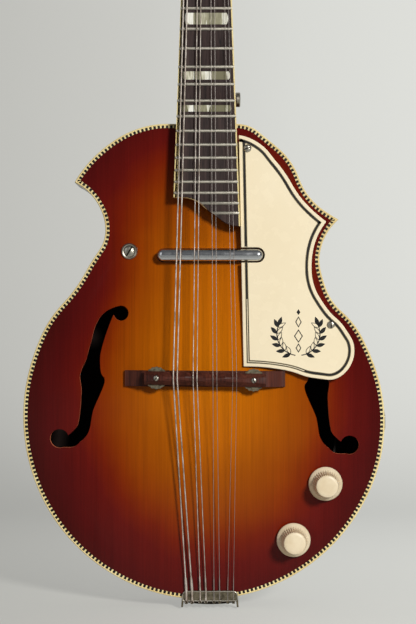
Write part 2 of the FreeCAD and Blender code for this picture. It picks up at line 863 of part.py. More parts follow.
def make_bridge_saddle():
    """A tapering bar whose crest is stepped for each pair of strings."""
    low = saddle_bottom()
    half = saddle_length / 2
    front = [at(-half, 0, low), at(half, 0, low), at(half, 0, low + saddle_end_height),
             at(saddle_flank, 0, saddle_height), at(-saddle_flank, 0, saddle_height),
             at(-half, 0, low + saddle_end_height)]
    bar = polygon(front).extrude(UP * saddle_foot_depth)
    bar = bar.translated(at(bridge_centre_x, saddle_z - saddle_foot_depth / 2))
    foot = saddle_foot_depth / 2
    crest = saddle_crest_depth / 2
    chin = low + saddle_chin
    side = polygon([at(0, saddle_z - foot, low), at(0, saddle_z + foot, low), at(0, saddle_z + foot, chin),
                    at(0, saddle_z + crest, saddle_height), at(0, saddle_z - crest, saddle_height),
                    at(0, saddle_z - foot, chin)])
    bar = bar.common(side.extrude(RIGHT * body_width).translated(at(-half_width, 0)))
    for index, pair in enumerate((-1.5, -0.5, 0.5, 1.5)):
        middle = bridge_centre_x + pair * bridge_pair_pitch
        edge = bridge_pair_pitch / 2
        if index % 2:
            bottom, top = saddle_z + saddle_compensation, saddle_z + overrun
        else:
            bottom, top = saddle_z - overrun, saddle_z - saddle_compensation
        bar = bar.cut(block(middle - edge, middle + edge, bottom, top,
                            saddle_height - saddle_compensation, saddle_height + overrun))
    bore = bridge_post_radius + running_gap
    for x in bridge_post_places():
        bar = bar.cut(peg(x, saddle_z, bore, low - overrun, saddle_height + overrun))
    return whole(skewed(bar))


def make_bridge_posts():
    low = bridge_base_height - bridge_post_depth
    posts = [peg(x, saddle_z, bridge_post_radius, low, bridge_post_top) for x in bridge_post_places()]
    return Part.Compound([skewed(post) for post in posts])


def make_thumbwheel(x):
    """A knurled wheel under the saddle, bored for its post."""
    low = bridge_base_height + thumbwheel_lift
    high = low + thumbwheel_thickness
    wheel = slab(polygon(star(thumbwheel_radius, knurl_depth, thumbwheel_knurls)), low, high)
    wheel = wheel.cut(peg(0, 0, bridge_post_radius + running_gap, low, high))
    return whole(skewed(wheel.translated(at(x, saddle_z))))


def make_pickup_cover():
    """A bright bar with round ends and a bevelled front, open at the back."""
    outer = slab(long_face(pickup_length, pickup_width), pickup_bottom, pickup_top)
    front = [e for e in outer.Edges if e.BoundBox.YMax < pickup_bevel - pickup_top]
    outer = outer.makeChamfer(pickup_bevel, front)
    inner = slab(long_face(pickup_length - 2 * pickup_wall, pickup_width - 2 * pickup_wall),
                 pickup_bottom - overrun, pickup_top - pickup_bevel)
    return whole(outer.cut(inner))


def make_pickup_coil():
    """The wound bobbin inside the cover."""
    cut = pickup_wall + coil_gap
    return slab(long_face(pickup_length - 2 * cut, pickup_width - 2 * cut),
                pickup_bottom, pickup_top - pickup_bevel - coil_gap)


def make_pickup_bracket():
    """A plate under the pickup with a foot at each end against the inside of the top."""
    half = bracket_length / 2
    low = pickup_bottom - bracket_thickness
    bottom = pickup_z - bracket_width / 2
    top = pickup_z + bracket_width / 2
    plate = block(pickup_x - half, pickup_x + half, bottom, top, low, pickup_bottom)
    foot = bracket_width / 2
    feet = [block(x - foot, x + foot, bottom, top, low, arch_height).common(BODY_ROOM)
            for x in (pickup_x - half + foot, pickup_x + half - foot)]
    return whole(plate.fuse(feet))


def guard_point(share):
    return at(guard_left_x + share[0] * guard_width, guard_bottom_z + share[1] * guard_length)


def guard_screw_places():
    return [guard_point(share) for share in guard_screw_shares]


def make_guard():
    """The guard plate: shoulder, point, waist, lower bout and foot, notched for the pickup."""
    shoulder = [guard_point((0, 1))] + [guard_point(s) for s in guard_shoulder_shares + [guard_point_share]]
    lower = [guard_point(s) for s in [guard_point_share] + guard_waist_shares + guard_bout_shares
             + guard_foot_shares + [guard_corner_share]]
    edges = smooth_edges(shoulder) + smooth_edges(lower)
    edges.append(Part.makeLine(lower[-1], shoulder[0]))
    plate = slab(face_of(edges), guard_height, guard_height + guard_thickness)
    return whole(plate.cut(pickup_slot(guard_pickup_gap, guard_height - overrun, guard_height + overrun)))


def make_guard_spacers():
    """Small blocks between the top and the guard."""
    half = spacer_width / 2
    blocks = [block(p.x - half, p.x + half, p.z - half, p.z + half, -overrun, guard_height)
              for p in guard_screw_places()]
    return Part.Compound([whole(piece.cut(TOP_BLOCK)) for piece in blocks])


def make_knob(x, z):
    """A skirted knob with a fluted, tapering grip."""
    def ring(radius, depth, height):
        return [point + at(x, z, knob_lift + height) for point in star(radius, depth, knob_flutes)]

    taper = knob_top_radius / knob_base_radius
    skirt = facets([ring(knob_skirt_radius, 0, 0), ring(knob_skirt_radius, 0, knob_skirt_edge),
                    ring(knob_base_radius, 0, knob_skirt_height)])
    grip = facets([ring(knob_base_radius, flute_depth, knob_skirt_height),
                   ring(knob_top_radius, flute_depth * taper, knob_height)])
    return whole(skirt.fuse(grip))


def pot_back():
    return -plate_thickness - pot_height


def make_shaft(x, z):
    """A potentiometer's shaft, from its can up to the knob."""
    return peg(x, z, shaft_radius, -plate_thickness, knob_lift)


def make_potentiometers():
    """Two cans under the top."""
    return [prism(x, z, pot_radius, pot_sides, pot_back(), -plate_thickness) for x, z in pot_places()]


def hex_tube(points, radius):
    """A six-sided wire along a route, mitred at each bend."""
    along = (points[1] - points[0]).normalize()
    aside = along.cross(LEAN).normalize()
    over = aside.cross(along)
    turn = math.pi / 3
    corners = [points[0] + aside * (radius * math.cos(turn * k)) + over * (radius * math.sin(turn * k))
               for k in range(6)]
    sections = [corners]
    for i in range(1, len(points)):
        along = (points[i] - points[i - 1]).normalize()
        ahead = (points[i + 1] - points[i]).normalize() if i + 1 < len(points) else along
        mitre = along + ahead
        corners = [c + along * ((points[i] - c).dot(mitre) / along.dot(mitre)) for c in corners]
        sections.append(corners)
    return facets(sections)


def make_controls():
    """The potentiometers, and the leads that join them to the pickup and the jack."""
    back = pot_back()
    jack_end = jack_face() + jack_nut_thickness - jack_length
    pickup_back = pickup_bottom - bracket_thickness
    routes = [
        lead(at(tone_x, tone_z + lead_side, back), at(volume_x - lead_side, volume_z, back)),
        lead(at(volume_x + lead_side, volume_z, back), at(jack_end - lead_side, jack_z, jack_height)),
        lead(at(volume_x, volume_z + lead_side, back), at(pickup_lead_x, pickup_z, pickup_back)),
    ]
    routes[1].append(at(jack_end, jack_z, jack_height))
    return Part.Compound(make_potentiometers() + [hex_tube(route, lead_radius) for route in routes])


def lead(start, end):
    """A route that leaves both ends towards the back and sags between them."""
    middle = (start + end) * 0.5
    return [start, start - FRONT * lead_rise, middle - FRONT * lead_sag, end - FRONT * lead_rise, end]


def jack_face():
    """X of the rim's widest line, behind the jack's nut."""
    return half_width * lower_bout_shares[-1][0]


def jack_hole():
    return rod(half_width - overrun, jack_z, jack_height, jack_sleeve_radius, 2 * overrun)


def make_output_jack():
    """A barrel jack through the rim, with a six-sided nut outside."""
    face = jack_face()
    turn = math.pi / 3
    reach = jack_nut_radius
    corners = [at(face, jack_z + reach * math.cos(turn * k), jack_height + reach * math.sin(turn * k))
               for k in range(6)]
    nut = polygon(corners).extrude(RIGHT * jack_nut_thickness)
    mouth = face + jack_nut_thickness
    sleeve = rod(mouth - jack_length, jack_z, jack_height, jack_sleeve_radius, jack_length)
    bore = rod(mouth - jack_length + jack_end_wall, jack_z, jack_height, jack_bore_radius, jack_length)
    return whole(nut.fuse(sleeve).cut(bore))


def make_tailpiece():
    """A stamped angle: a shelf on the top, a plate down the end, eight hooks and two side ears."""
    left = tail_x - tail_width / 2
    right = tail_x + tail_width / 2
    outer = -tail_thickness
    high = tail_thickness
    shelf = polygon([at(left, outer), at(right, outer), at(right, tail_reach - tail_corner),
                     at(right - tail_corner, tail_reach), at(left + tail_corner, tail_reach),
                     at(left, tail_reach - tail_corner)])
    parts = [block(left + tail_corner, right - tail_corner, outer, 0, -tail_drop, high)]
    for x in string_places(tail_pair_pitch, tail_pair_gap, tail_x):
        near = x - hook_width / 2
        end = outer - hook_length
        parts.append(block(near, near + hook_width, end, outer, 0, high))
        parts.append(block(near, near + hook_width, end, end + tail_thickness, 0, high + hook_rise))
    ear = tail_ear_length
    for x in (left, right - tail_ear_width):
        parts.append(block(x, x + tail_ear_width, outer - ear, outer, high - ear, high))
    return whole(slab(shelf, 0, high).fuse(parts))


def make_strap_button():
    """A button with a waist and a wider head on the heel's treble side."""
    waist = rod(strap_button_x, strap_button_z, strap_button_height, strap_button_waist, strap_button_length)
    head = rod(strap_button_x + strap_button_length - strap_button_head, strap_button_z, strap_button_height,
               strap_button_radius, strap_button_head)
    return whole(waist.fuse(head))


def crest_z(x):
    """Where the skewed saddle's crest lies at a place across."""
    return saddle_z - (x - bridge_centre_x) * math.tan(math.radians(bridge_skew))


def make_strings(indices):
    """Wires from the tailpiece's hooks over the saddle and the nut to the sides of the posts."""
    strings = []
    tails = string_places(tail_pair_pitch, tail_pair_gap, tail_x)
    crests = string_places(bridge_pair_pitch, bridge_pair_gap, bridge_centre_x)
    nuts = string_places(nut_pair_pitch, nut_pair_gap, neck_offset)
    break_rise = saddle_height / saddle_z * saddle_crest_depth / 2
    for i in indices:
        width = string_diameters[i]
        lift = width / 2 + running_gap
        side = -1 if i < tuner_count else 1
        up = first_tuner + tuner_pitch * (i if i < tuner_count else 2 * tuner_count - 1 - i)
        reach = post_radius + running_gap + width / 2
        points = [at(tails[i], -tail_thickness - hook_length / 2, tail_thickness + lift),
                  at(tails[i], tail_reach, tail_thickness + lift),
                  at(crests[i], crest_z(crests[i]), saddle_height + lift + break_rise),
                  at(nuts[i], nut_z + nut_thickness, nut_string_height + running_gap),
                  HEAD.multVec(at(side * (post_side_offset - reach), up, string_lift))]
        strings.append(hex_tube(points, width / 2))
    return Part.Compound(strings)


nodes = {
    "top_plate": make_top_plate(),
    "back_plate": make_back_plate(),
    "rim": make_rim(),
    "front_binding": make_binding(-plate_thickness, 0),
    "body_blocks": make_body_blocks(),
    "tone_bars": make_tone_bars(),
    "neck": make_neck(),
    "fingerboard": make_fingerboard(),
    "fingerboard_binding": make_board_binding(),
    "frets": make_frets(),
    "position_markers": make_position_markers(),
    "nut": make_nut(),
    "tuner_housing_bass": make_tuner_housing(-1),
    "tuner_housing_treble": make_tuner_housing(1),
    "wound_strings": make_strings(range(tuner_count)),
    "plain_strings": make_strings(range(tuner_count, 2 * tuner_count)),
    "bridge_base": make_bridge_base(),
    "bridge_saddle": make_bridge_saddle(),
    "bridge_posts": make_bridge_posts(),
    "thumbwheel_bass": make_thumbwheel(bridge_post_places()[0]),
    "thumbwheel_treble": make_thumbwheel(bridge_post_places()[1]),
    "pickup_cover": make_pickup_cover(),
    "pickup_coil": make_pickup_coil(),
    "pickup_bracket": make_pickup_bracket(),
    "guard": make_guard(),
    "guard_spacers": make_guard_spacers(),
    "volume_knob": make_knob(volume_x, volume_z),
    "tone_knob": make_knob(tone_x, tone_z),
    "volume_shaft": make_shaft(volume_x, volume_z),
    "tone_shaft": make_shaft(tone_x, tone_z),
    "control_harness": make_controls(),
    "output_jack": make_output_jack(),
    "tailpiece": make_tailpiece(),
    "strap_button": make_strap_button(),
}
for index, (side, up) in enumerate(tuner_places()):
    nodes["tuner_key_" + str(index + 1)] = make_tuner_key(side, up)
    nodes["tuner_post_" + str(index + 1)] = make_tuner_post(side, up)

os.makedirs("parts", exist_ok=True)
for name, shape in nodes.items():
    shape.exportStep("parts/" + name + ".step")
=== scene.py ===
import json
import math

import bmesh
import bpy
from mathutils import Matrix, Vector, kdtree


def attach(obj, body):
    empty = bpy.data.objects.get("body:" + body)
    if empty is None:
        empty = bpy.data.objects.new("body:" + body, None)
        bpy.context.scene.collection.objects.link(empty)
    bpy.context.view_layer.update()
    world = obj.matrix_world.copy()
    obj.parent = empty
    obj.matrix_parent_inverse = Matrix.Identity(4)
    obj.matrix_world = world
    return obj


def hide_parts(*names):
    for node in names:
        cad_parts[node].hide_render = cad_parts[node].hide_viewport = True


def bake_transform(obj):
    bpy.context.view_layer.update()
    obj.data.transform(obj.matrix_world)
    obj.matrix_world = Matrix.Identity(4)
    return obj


# The look of an eight-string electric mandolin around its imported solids.
# Places are in millimetres: X to the treble side, Z up the strings, and a height towards the front.

MM = 0.001
SEAM = 0.02

# Body
arch_height = 8.5
arch_width = 204.0
arch_length = 276.0
arch_centre_z = 146.0
arch_recurve = 0.55
plate_thickness = 3.0
top_grid = 3.0
face_reach = 0.6

# Sound holes: edges as shares of their length, from the centre of the lower eye
hole_length = 96.3
hole_eye = (-98.1, 109.3)
hole_mirror_x = 0.4
hole_drop = 4.4
hole_outer_shares = [(0.422, 0.935), (0.328, 0.895), (0.253, 0.793), (0.204, 0.596), (0.147, 0.456),
                     (0.155, 0.330), (0.138, 0.140), (0.100, 0.022), (0.050, -0.005)]
hole_inner_shares = [(0.020, -0.062), (0.105, -0.056), (0.161, 0.007), (0.246, 0.218), (0.320, 0.397),
                     (0.294, 0.470), (0.290, 0.590), (0.316, 0.744), (0.377, 0.860)]

# Edge inlay
purfling_width = 1.45
purfling_outside = 0.4
purfling_pitch = 2.88
purfling_black_share = 0.6
purfling_proud = 0.06
purfling_cream_depth = 0.25
purfling_black_depth = 0.3
edge_flat = 1.9
edge_sweep = 13.0

# Strings
nut_z = 502.8
nut_thickness = 4.6
saddle_z = 150.4
saddle_height = 21.5
bridge_centre_x = 0.7
bridge_skew = 1.3
scale_length = 352.4
string_diameters = [1.02, 1.02, 0.66, 0.66, 0.38, 0.38, 0.28, 0.28]
string_nut_height = 6.55
string_break = 0.13
string_seat = 0.05
tail_pair_pitch = 9.35
tail_pair_gap = 3.85
crest_pair_pitch = 13.2
crest_pair_gap = 2.6
nut_pair_pitch = 7.6
nut_pair_gap = 2.4
board_thickness = 5.0
marker_margin = 4.3
marker_bulge = 1.1
marker_shares = {3: 0.60, 5: 0.58, 7: 0.56, 10: 0.47, 12: 0.42}
board_nut_width = 27.5
board_end_width = 45.4
board_end_down = 250.2
tail_shelf_height = 1.1
tail_front_z = 6.2
tail_middle_x = 4.0
tail_width = 38.0
tail_corner = 3.0
tail_bead = 0.5
flange_depth = 2.4
flange_thickness = 1.2
hook_share = 0.35
ear_share = 0.8
ear_width = 1.4
ear_splay_share = 0.1
loop_z = -0.4
loop_radius = 1.0
wrap_length = 15.0
winding_turns = 4
winding_low = 4.4
wire_pitch = 0.32

# Headstock
neck_offset = 1.6
board_tilt = 2.02
head_angle = 13.0
post_side = 16.0
first_tuner = 30.0
tuner_pitch = 23.0
post_radius = 3.0
ferrule_radius = 4.8
veneer_thickness = 0.5
head_thickness = 14.0
housing_height = 9.0
key_offset = 6.5
housing_low_reach = 5.0
housing_high_reach = 12.0

# Guard
guard_face = 10.2
guard_border_inset = 3.3
guard_line_width = 1.3
guard_halo_width = 2.15
guard_notch_reach = 5.2
guard_notch_right = 43.0
guard_art_depth = 0.1
guard_thin_top = 202.0
guard_thin_right = 68.0
guard_core_width = 0.45
guard_screws = [(29.3, 305.2), (85.4, 186.7)]
sprig_x = 63.5
sprig_z = 180.5
sprig_radius = 14.5
sprig_start = -82
sprig_sweep = 104
sprig_steps = 24
leaf_lean = 42
leaf_length = 6.2
leaf_width = 2.7
leaf_rim = 0.45
tip_leaf_length = 6.6
tip_leaf_width = 2.8
stem_radius = 0.38
lozenge_rim = 0.8

# Lozenges between the sprigs: height up the guard, half width and half height
lozenges = [(-9.5, 2.0, 3.2), (-1.5, 3.0, 4.6), (8.0, 2.2, 3.8), (14.6, 1.3, 2.0)]

# Pickup
pickup_x = 4.3
pickup_z = 233.5
pickup_length = 71.1
pickup_width = 8.2
pickup_low = -8.0
pickup_top = 13.0
pickup_round = 3.2
pickup_dome = 3.8

# Controls
knob_places = {"volume": (82.2, 79.0), "tone": (60.6, 41.0)}
knob_lift = 3.2
knob_flutes = 36
knob_flute_depth = 0.85

# Knob rings: radius, height and the share of the flutes' depth
knob_profile = [(11.1, 0.0), (11.45, 0.4), (11.45, 1.1), (11.2, 1.7), (10.2, 2.6), (9.75, 3.2),
                (9.6, 3.4, 0.0), (9.4, 3.9, 1.0), (8.5, 9.0, 1.0), (7.7, 15.2, 1.0), (7.55, 15.9, 0.4),
                (7.3, 16.4), (6.8, 16.8), (5.0, 16.95), (0.5, 17.0)]

# Cup washer beside the pickup: place, and rings of radius and height
washer_x = -50.5
washer_z = 236.3
washer_profile = [(5.7, -0.6), (5.7, 0.3), (5.3, 1.2), (4.6, 1.75), (4.0, 1.5), (3.7, 0.9), (0.4, 0.8)]

# Slotted heads: radius and rise
guard_screw_size = (2.6, 1.5)
washer_screw_size = (3.7, 1.7)
housing_screw_size = (1.7, 0.9)
bridge_post_size = (1.85, 0.9)
bridge_post_side = 32.5
bridge_post_height = 20.0

# Sunburst, in metres: its middle, its reach to each side and its narrowing at the waist
burst_x = 0.006
burst_z = 0.150
burst_aside = 0.079
burst_above = 0.162
burst_below = 0.106
waist_z = 0.215
waist_reach = 0.045

# Camera, at the height of the picture's middle
camera_distance = 1000.0
camera_x = 2.716
camera_z = 195.2
picture_height = 423.7
sensor = 36.0


def at(x, z, height=0.0):
    return Vector((x, -height, z)) * MM


def head_at(x, up, height):
    """A place in the headstock's own frame: across, up the head, and over its face."""
    tilt = math.radians(head_angle)
    drop = nut_thickness * math.tan(math.radians(board_tilt))
    return at(neck_offset + x,
              nut_z + nut_thickness + up * math.cos(tilt) + height * math.sin(tilt),
              height * math.cos(tilt) - up * math.sin(tilt) - drop)


def board_at(x, down, height=0.0):
    """A place on the fingerboard: across, down from the nut, and over its face."""
    tilt = math.radians(board_tilt)
    return at(neck_offset + x, nut_z - down * math.cos(tilt) + height * math.sin(tilt),
              board_thickness / math.cos(tilt) + down * math.sin(tilt) + height * math.cos(tilt))


HEAD_UP = (head_at(0, 1, 0) - head_at(0, 0, 0)).normalized()
HEAD_FRONT = (head_at(0, 0, 1) - head_at(0, 0, 0)).normalized()
FRONT = Vector((0, -1, 0))
RIGHT = Vector((1, 0, 0))
UP = Vector((0, 0, 1))


def arch_rise(x, z, height):
    reach = (2 * x / arch_width) ** 2 + (2 * (z - arch_centre_z) / arch_length) ** 2
    return height * (1 - reach) * (1 - arch_recurve * reach) if reach < 1 else 0.0


def srgb(red, green, blue):
    """A colour from its 0 to 255 screen values."""
    def linear(value):
        return ((value / 255 + 0.055) / 1.055) ** 2.4 if value > 10 else value / 255 / 12.92

    return (linear(red), linear(green), linear(blue), 1.0)


class Nodes:
    """Builds one material's node tree."""

    def __init__(self, name):
        self.material = bpy.data.materials.new(name)
        self.material.use_nodes = True
        self.tree = self.material.node_tree
        self.shader = self.tree.nodes["Principled BSDF"]
        self.place = self.add("ShaderNodeTexCoord").outputs["Object"]

    def add(self, kind, **values):
        node = self.tree.nodes.new(kind)
        for name, value in values.items():
            setattr(node, name, value)
        return node

    def link(self, output, socket):
        if hasattr(output, "bl_idname") or hasattr(output, "is_output"):
            self.tree.links.new(output, socket)
        else:
            socket.default_value = output

    def math(self, operation, a, b=0.0, clamp=False):
        node = self.add("ShaderNodeMath", operation=operation, use_clamp=clamp)
        self.link(a, node.inputs[0])
        self.link(b, node.inputs[1])
        return node.outputs[0]

    def split(self):
        node = self.add("ShaderNodeSeparateXYZ")
        self.link(self.place, node.inputs[0])
        return node.outputs

    def scaled(self, x, y, z):
        node = self.add("ShaderNodeMapping")
        self.link(self.place, node.inputs["Vector"])
        node.inputs["Scale"].default_value = (x, y, z)
        return node.outputs[0]

    def noise(self, vector, scale=1.0, detail=3.0, rough=0.5, distortion=0.0):
        node = self.add("ShaderNodeTexNoise")
        self.link(vector, node.inputs["Vector"])
        node.inputs["Scale"].default_value = scale
        node.inputs["Detail"].default_value = detail
        node.inputs["Roughness"].default_value = rough
        node.inputs["Distortion"].default_value = distortion
        return node.outputs["Fac"]

    def ramp(self, factor, stops, interpolation="LINEAR"):
        node = self.add("ShaderNodeValToRGB")
        self.link(factor, node.inputs[0])
        ramp = node.color_ramp
        ramp.interpolation = interpolation
        while len(ramp.elements) < len(stops):
            ramp.elements.new(1.0)
        for element, (place, colour) in zip(ramp.elements, stops):
            element.position = place
            element.color = colour
        return node.outputs["Color"]

    def mix(self, factor, a, b, blend="MIX"):
        node = self.add("ShaderNodeMix", data_type="RGBA", blend_type=blend)
        self.link(factor, node.inputs["Factor"])
        self.link(a, node.inputs[6])
        self.link(b, node.inputs[7])
        return node.outputs[2]

    def bump(self, height, strength, distance):
        node = self.add("ShaderNodeBump")
        node.inputs["Strength"].default_value = strength
        node.inputs["Distance"].default_value = distance
        self.link(height, node.inputs["Height"])
        self.link(node.outputs[0], self.shader.inputs["Normal"])

    def set(self, **values):
        names = {"color": "Base Color", "rough": "Roughness", "metal": "Metallic", "coat": "Coat Weight",
                 "coat_rough": "Coat Roughness", "specular": "Specular IOR Level", "sheen": "Sheen Weight"}
        for name, value in values.items():
            self.link(value, self.shader.inputs[names[name]])
        return self.material


def grey(value):
    return (value, value, value, 1.0)


def sunburst():
    """Spruce under a red to amber sunburst lacquer."""
    n = Nodes("spruce_sunburst")
    x, _, z = n.split()
    waist = n.math("DIVIDE", n.math("SUBTRACT", z, waist_z), waist_reach)
    waist = n.math("EXPONENT", n.math("MULTIPLY", n.math("MULTIPLY", waist, waist), -1.0))
    across = n.math("DIVIDE", n.math("SUBTRACT", x, burst_x), burst_aside)
    across = n.math("MULTIPLY", across, n.math("ADD", n.math("MULTIPLY", waist, 0.2), 1.0))
    up = n.math("SUBTRACT", z, burst_z)
    above = n.math("DIVIDE", n.math("MAXIMUM", up, 0.0), burst_above)
    top_edge = n.math("MAXIMUM", n.math("SUBTRACT", above, 0.75), 0.0)
    above = n.math("ADD", above, n.math("MULTIPLY", top_edge, 0.6))
    below = n.math("DIVIDE", n.math("MINIMUM", up, 0.0), burst_below)
    along = n.math("ADD", above, below)
    reach = n.math("SQRT", n.math("ADD", n.math("POWER", n.math("ABSOLUTE", across), 2.0),
                                  n.math("POWER", n.math("ABSOLUTE", along), 2.0)))
    cloud = n.noise(n.place, 28.0, 3.0)
    reach = n.math("ADD", reach, n.math("MULTIPLY", n.math("SUBTRACT", cloud, 0.5), 0.16))
    burst = n.ramp(n.math("DIVIDE", reach, 2.0), [
        (0.0, srgb(203, 113, 4)), (0.20, srgb(190, 101, 2)), (0.32, srgb(165, 82, 1)),
        (0.41, srgb(150, 67, 1)), (0.48, srgb(134, 48, 1)), (0.54, srgb(116, 29, 5)),
        (0.60, srgb(98, 18, 12)), (0.70, srgb(81, 14, 13)), (0.82, srgb(62, 13, 11))])
    grain = n.noise(n.scaled(950, 30, 14), 1.0, 3.0, 0.6)
    wide = n.noise(n.scaled(170, 20, 5), 1.0, 2.0)
    fine = n.math("ADD", n.math("MULTIPLY", grain, 0.65), n.math("MULTIPLY", wide, 0.35))
    lines = n.ramp(fine, [(0.33, grey(0.62)), (0.62, grey(1.0))])
    colour = n.mix(0.6, burst, lines, "MULTIPLY")
    n.bump(grain, 0.05, 0.0002)
    return n.set(color=colour, rough=0.15, specular=0.13)


def wood(name, dark, light, across=600.0, rough=0.35, coat=0.0, bump=0.08, pores=0.0):
    """Straight-grained wood along the strings."""
    n = Nodes(name)
    grain = n.noise(n.scaled(across, across, across / 40), 1.0, 4.0, 0.62, 0.4)
    wide = n.noise(n.scaled(across / 8, across / 8, across / 120), 1.0, 3.0, 0.5, 0.8)
    fine = n.math("ADD", n.math("MULTIPLY", grain, 0.55), n.math("MULTIPLY", wide, 0.45))
    colour = n.ramp(fine, [(0.34, dark), (0.64, light)])
    if pores:
        holes = n.noise(n.scaled(across * 2.4, across * 2.4, across / 9), 1.0, 2.0, 0.4)
        colour = n.mix(n.ramp(holes, [(0.30, grey(pores)), (0.40, grey(0.0))]), colour, grey(0.006))
    n.bump(grain, bump, 0.0003)
    return n.set(color=colour, rough=rough, coat=coat, coat_rough=0.08, specular=0.15)


def plastic(name, colour, shade, rough=0.3, mottling=60.0, coat=0.0):
    """Aged moulded plastic with faint clouds and a slightly uneven skin."""
    n = Nodes(name)
    cloud = n.noise(n.place, mottling, 4.0, 0.55)
    skin = n.noise(n.place, 900.0, 2.0)
    mixed = n.ramp(cloud, [(0.35, shade), (0.62, colour)])
    n.bump(skin, 0.03, 0.0002)
    uneven = n.ramp(n.noise(n.place, 150.0, 3.0), [(0.3, grey(rough - 0.06)), (0.7, grey(rough + 0.08))])
    return n.set(color=mixed, rough=uneven, coat=coat, coat_rough=0.12, specular=0.3)


def metal(name, colour, rough=0.18, tarnish=0.25, scale=220.0, shade=None):
    """Plated metal with faint tarnish and wear."""
    n = Nodes(name)
    cloud = n.noise(n.place, scale, 5.0, 0.65)
    marks = n.noise(n.scaled(2600, 500, 500), 1.0, 2.0)
    darker = shade or tuple(c * (1 - tarnish) for c in colour[:3]) + (1.0,)
    mixed = n.ramp(cloud, [(0.36, darker), (0.60, colour)])
    uneven = n.ramp(cloud, [(0.3, grey(rough + 0.16)), (0.7, grey(rough))])
    n.bump(marks, 0.02, 0.0001)
    return n.set(color=mixed, rough=uneven, metal=1.0)


def wound_wire():
    """A string wound in fine wire: rings along its length."""
    n = Nodes("wound_string")
    z = n.split()[2]
    rings = n.math("SINE", n.math("MULTIPLY", z, 2 * math.pi / (wire_pitch * MM)))
    cloud = n.noise(n.place, 130.0, 3.0)
    colour = n.ramp(cloud, [(0.35, srgb(150, 136, 122)), (0.65, srgb(205, 196, 186))])
    n.bump(rings, 0.3, 0.00006)
    return n.set(color=colour, rough=0.48, metal=0.8)


def pearl():
    """Patchy celluloid pearl."""
    n = Nodes("pearl")
    cells = n.add("ShaderNodeTexVoronoi", feature="F1")
    n.link(n.scaled(150, 20, 22), cells.inputs["Vector"])
    cells.inputs["Scale"].default_value = 1.0
    patch = n.noise(cells.outputs["Position"], 3.7, 0.0)
    streak = n.noise(n.scaled(900, 300, 200), 1.0, 3.0)
    tone = n.math("ADD", n.math("MULTIPLY", patch, 0.8), n.math("MULTIPLY", streak, 0.2))
    colour = n.ramp(tone, [(0.40, srgb(118, 114, 88)), (0.50, srgb(160, 156, 130)),
                           (0.56, srgb(214, 211, 190)), (0.64, srgb(240, 239, 228))])
    return n.set(color=colour, rough=0.25, specular=0.4)


materials = {
    "top": sunburst(),
    "side": wood("maple_dark_red", srgb(52, 14, 12), srgb(88, 24, 16), 300.0, 0.22, 0.0, 0.03),
    "neck": wood("neck_mahogany_red", srgb(60, 20, 14), srgb(104, 38, 22), 420.0, 0.25, 0.0, 0.03),
    # Walls of the sound holes: bare cut wood, brightened as a painted highlight where the edges catch light.
    "edge_wood_and_highlight": wood("bare_cut_edge_with_painted_highlight", srgb(176, 78, 46), srgb(232, 140, 98), 500.0, 0.6, 0.0, 0.05),
    # Wood inside the body, darkened to near black: painted shade for the cavity behind the sound holes.
    "inside": wood("bare_wood_inside_darkened_as_painted_shade", srgb(16, 9, 6), srgb(24, 13, 9), 300.0, 0.8),
    "board": wood("rosewood_board", srgb(30, 21, 20), srgb(66, 51, 48), 900.0, 0.5, 0.0, 0.12, 0.8),
    "bridge": wood("rosewood_bridge", srgb(38, 15, 11), srgb(92, 47, 35), 700.0, 0.45, 0.0, 0.10, 0.6),
    "binding": plastic("cream_binding", srgb(236, 218, 160), srgb(220, 194, 130), 0.3, 45.0),
    "guard": plastic("cream_guard", srgb(247, 233, 201), srgb(243, 228, 194), 0.24, 18.0),
    "knob": plastic("cream_knob", srgb(234, 218, 187), srgb(221, 202, 167), 0.36, 90.0),
    "button": plastic("cream_button", srgb(238, 226, 196), srgb(220, 202, 166), 0.3, 80.0, 0.2),
    "black": plastic("black_inlay", srgb(7, 6, 5), srgb(3, 3, 3), 0.6, 80.0),
    "halo": plastic("engraved_edge", srgb(138, 124, 88), srgb(98, 86, 58), 0.5, 120.0),
    "veneer": plastic("black_veneer", srgb(20, 18, 18), srgb(13, 12, 12), 0.2, 40.0, 0.5),
    "chrome": metal("chrome", srgb(206, 208, 210), 0.10, 0.12),
    "nickel": metal("aged_nickel", srgb(186, 180, 166), 0.24, 0.3),
    "tarnished": metal("tarnished_nickel", srgb(122, 114, 95), 0.4, 0.65, 420.0),
    # Dark metal as painted shade: the bottoms of screw slots and the shaded flange under the tailpiece.
    "metal_in_painted_shade": metal("dark_metal_painted_shade", srgb(46, 42, 36), 0.5, 0.3),
    "fret": metal("fret_wire", srgb(196, 190, 176), 0.28, 0.25),
    "zinc": metal("zinc_plate", srgb(160, 160, 156), 0.4, 0.2),
    "wound": wound_wire(),
    "plain": metal("plain_string", srgb(164, 156, 150), 0.46, 0.2),
    "pearl": pearl(),
    "bone": plastic("bone_nut", srgb(240, 232, 208), srgb(224, 212, 180), 0.35, 120.0),
    "tape": plastic("coil_tape", srgb(24, 22, 22), srgb(14, 13, 13), 0.7),
    "wire": plastic("wire_cover", srgb(30, 26, 23), srgb(20, 17, 15), 0.7),
}

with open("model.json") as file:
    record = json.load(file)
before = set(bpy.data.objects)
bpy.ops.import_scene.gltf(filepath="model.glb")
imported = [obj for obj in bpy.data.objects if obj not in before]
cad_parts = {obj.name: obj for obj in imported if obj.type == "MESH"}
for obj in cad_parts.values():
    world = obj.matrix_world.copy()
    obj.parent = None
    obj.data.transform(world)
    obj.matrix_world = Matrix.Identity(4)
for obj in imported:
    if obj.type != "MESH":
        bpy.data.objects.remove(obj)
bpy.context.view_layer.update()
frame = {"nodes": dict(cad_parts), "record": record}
BODY_OF = {node: body for body, members in frame["record"]["behaviour"]["bodies"].items() for node in members}


def finish_mesh(mesh, angle=32.0):
    mesh.shade_smooth()
    mesh.set_sharp_from_angle(angle=math.radians(angle))


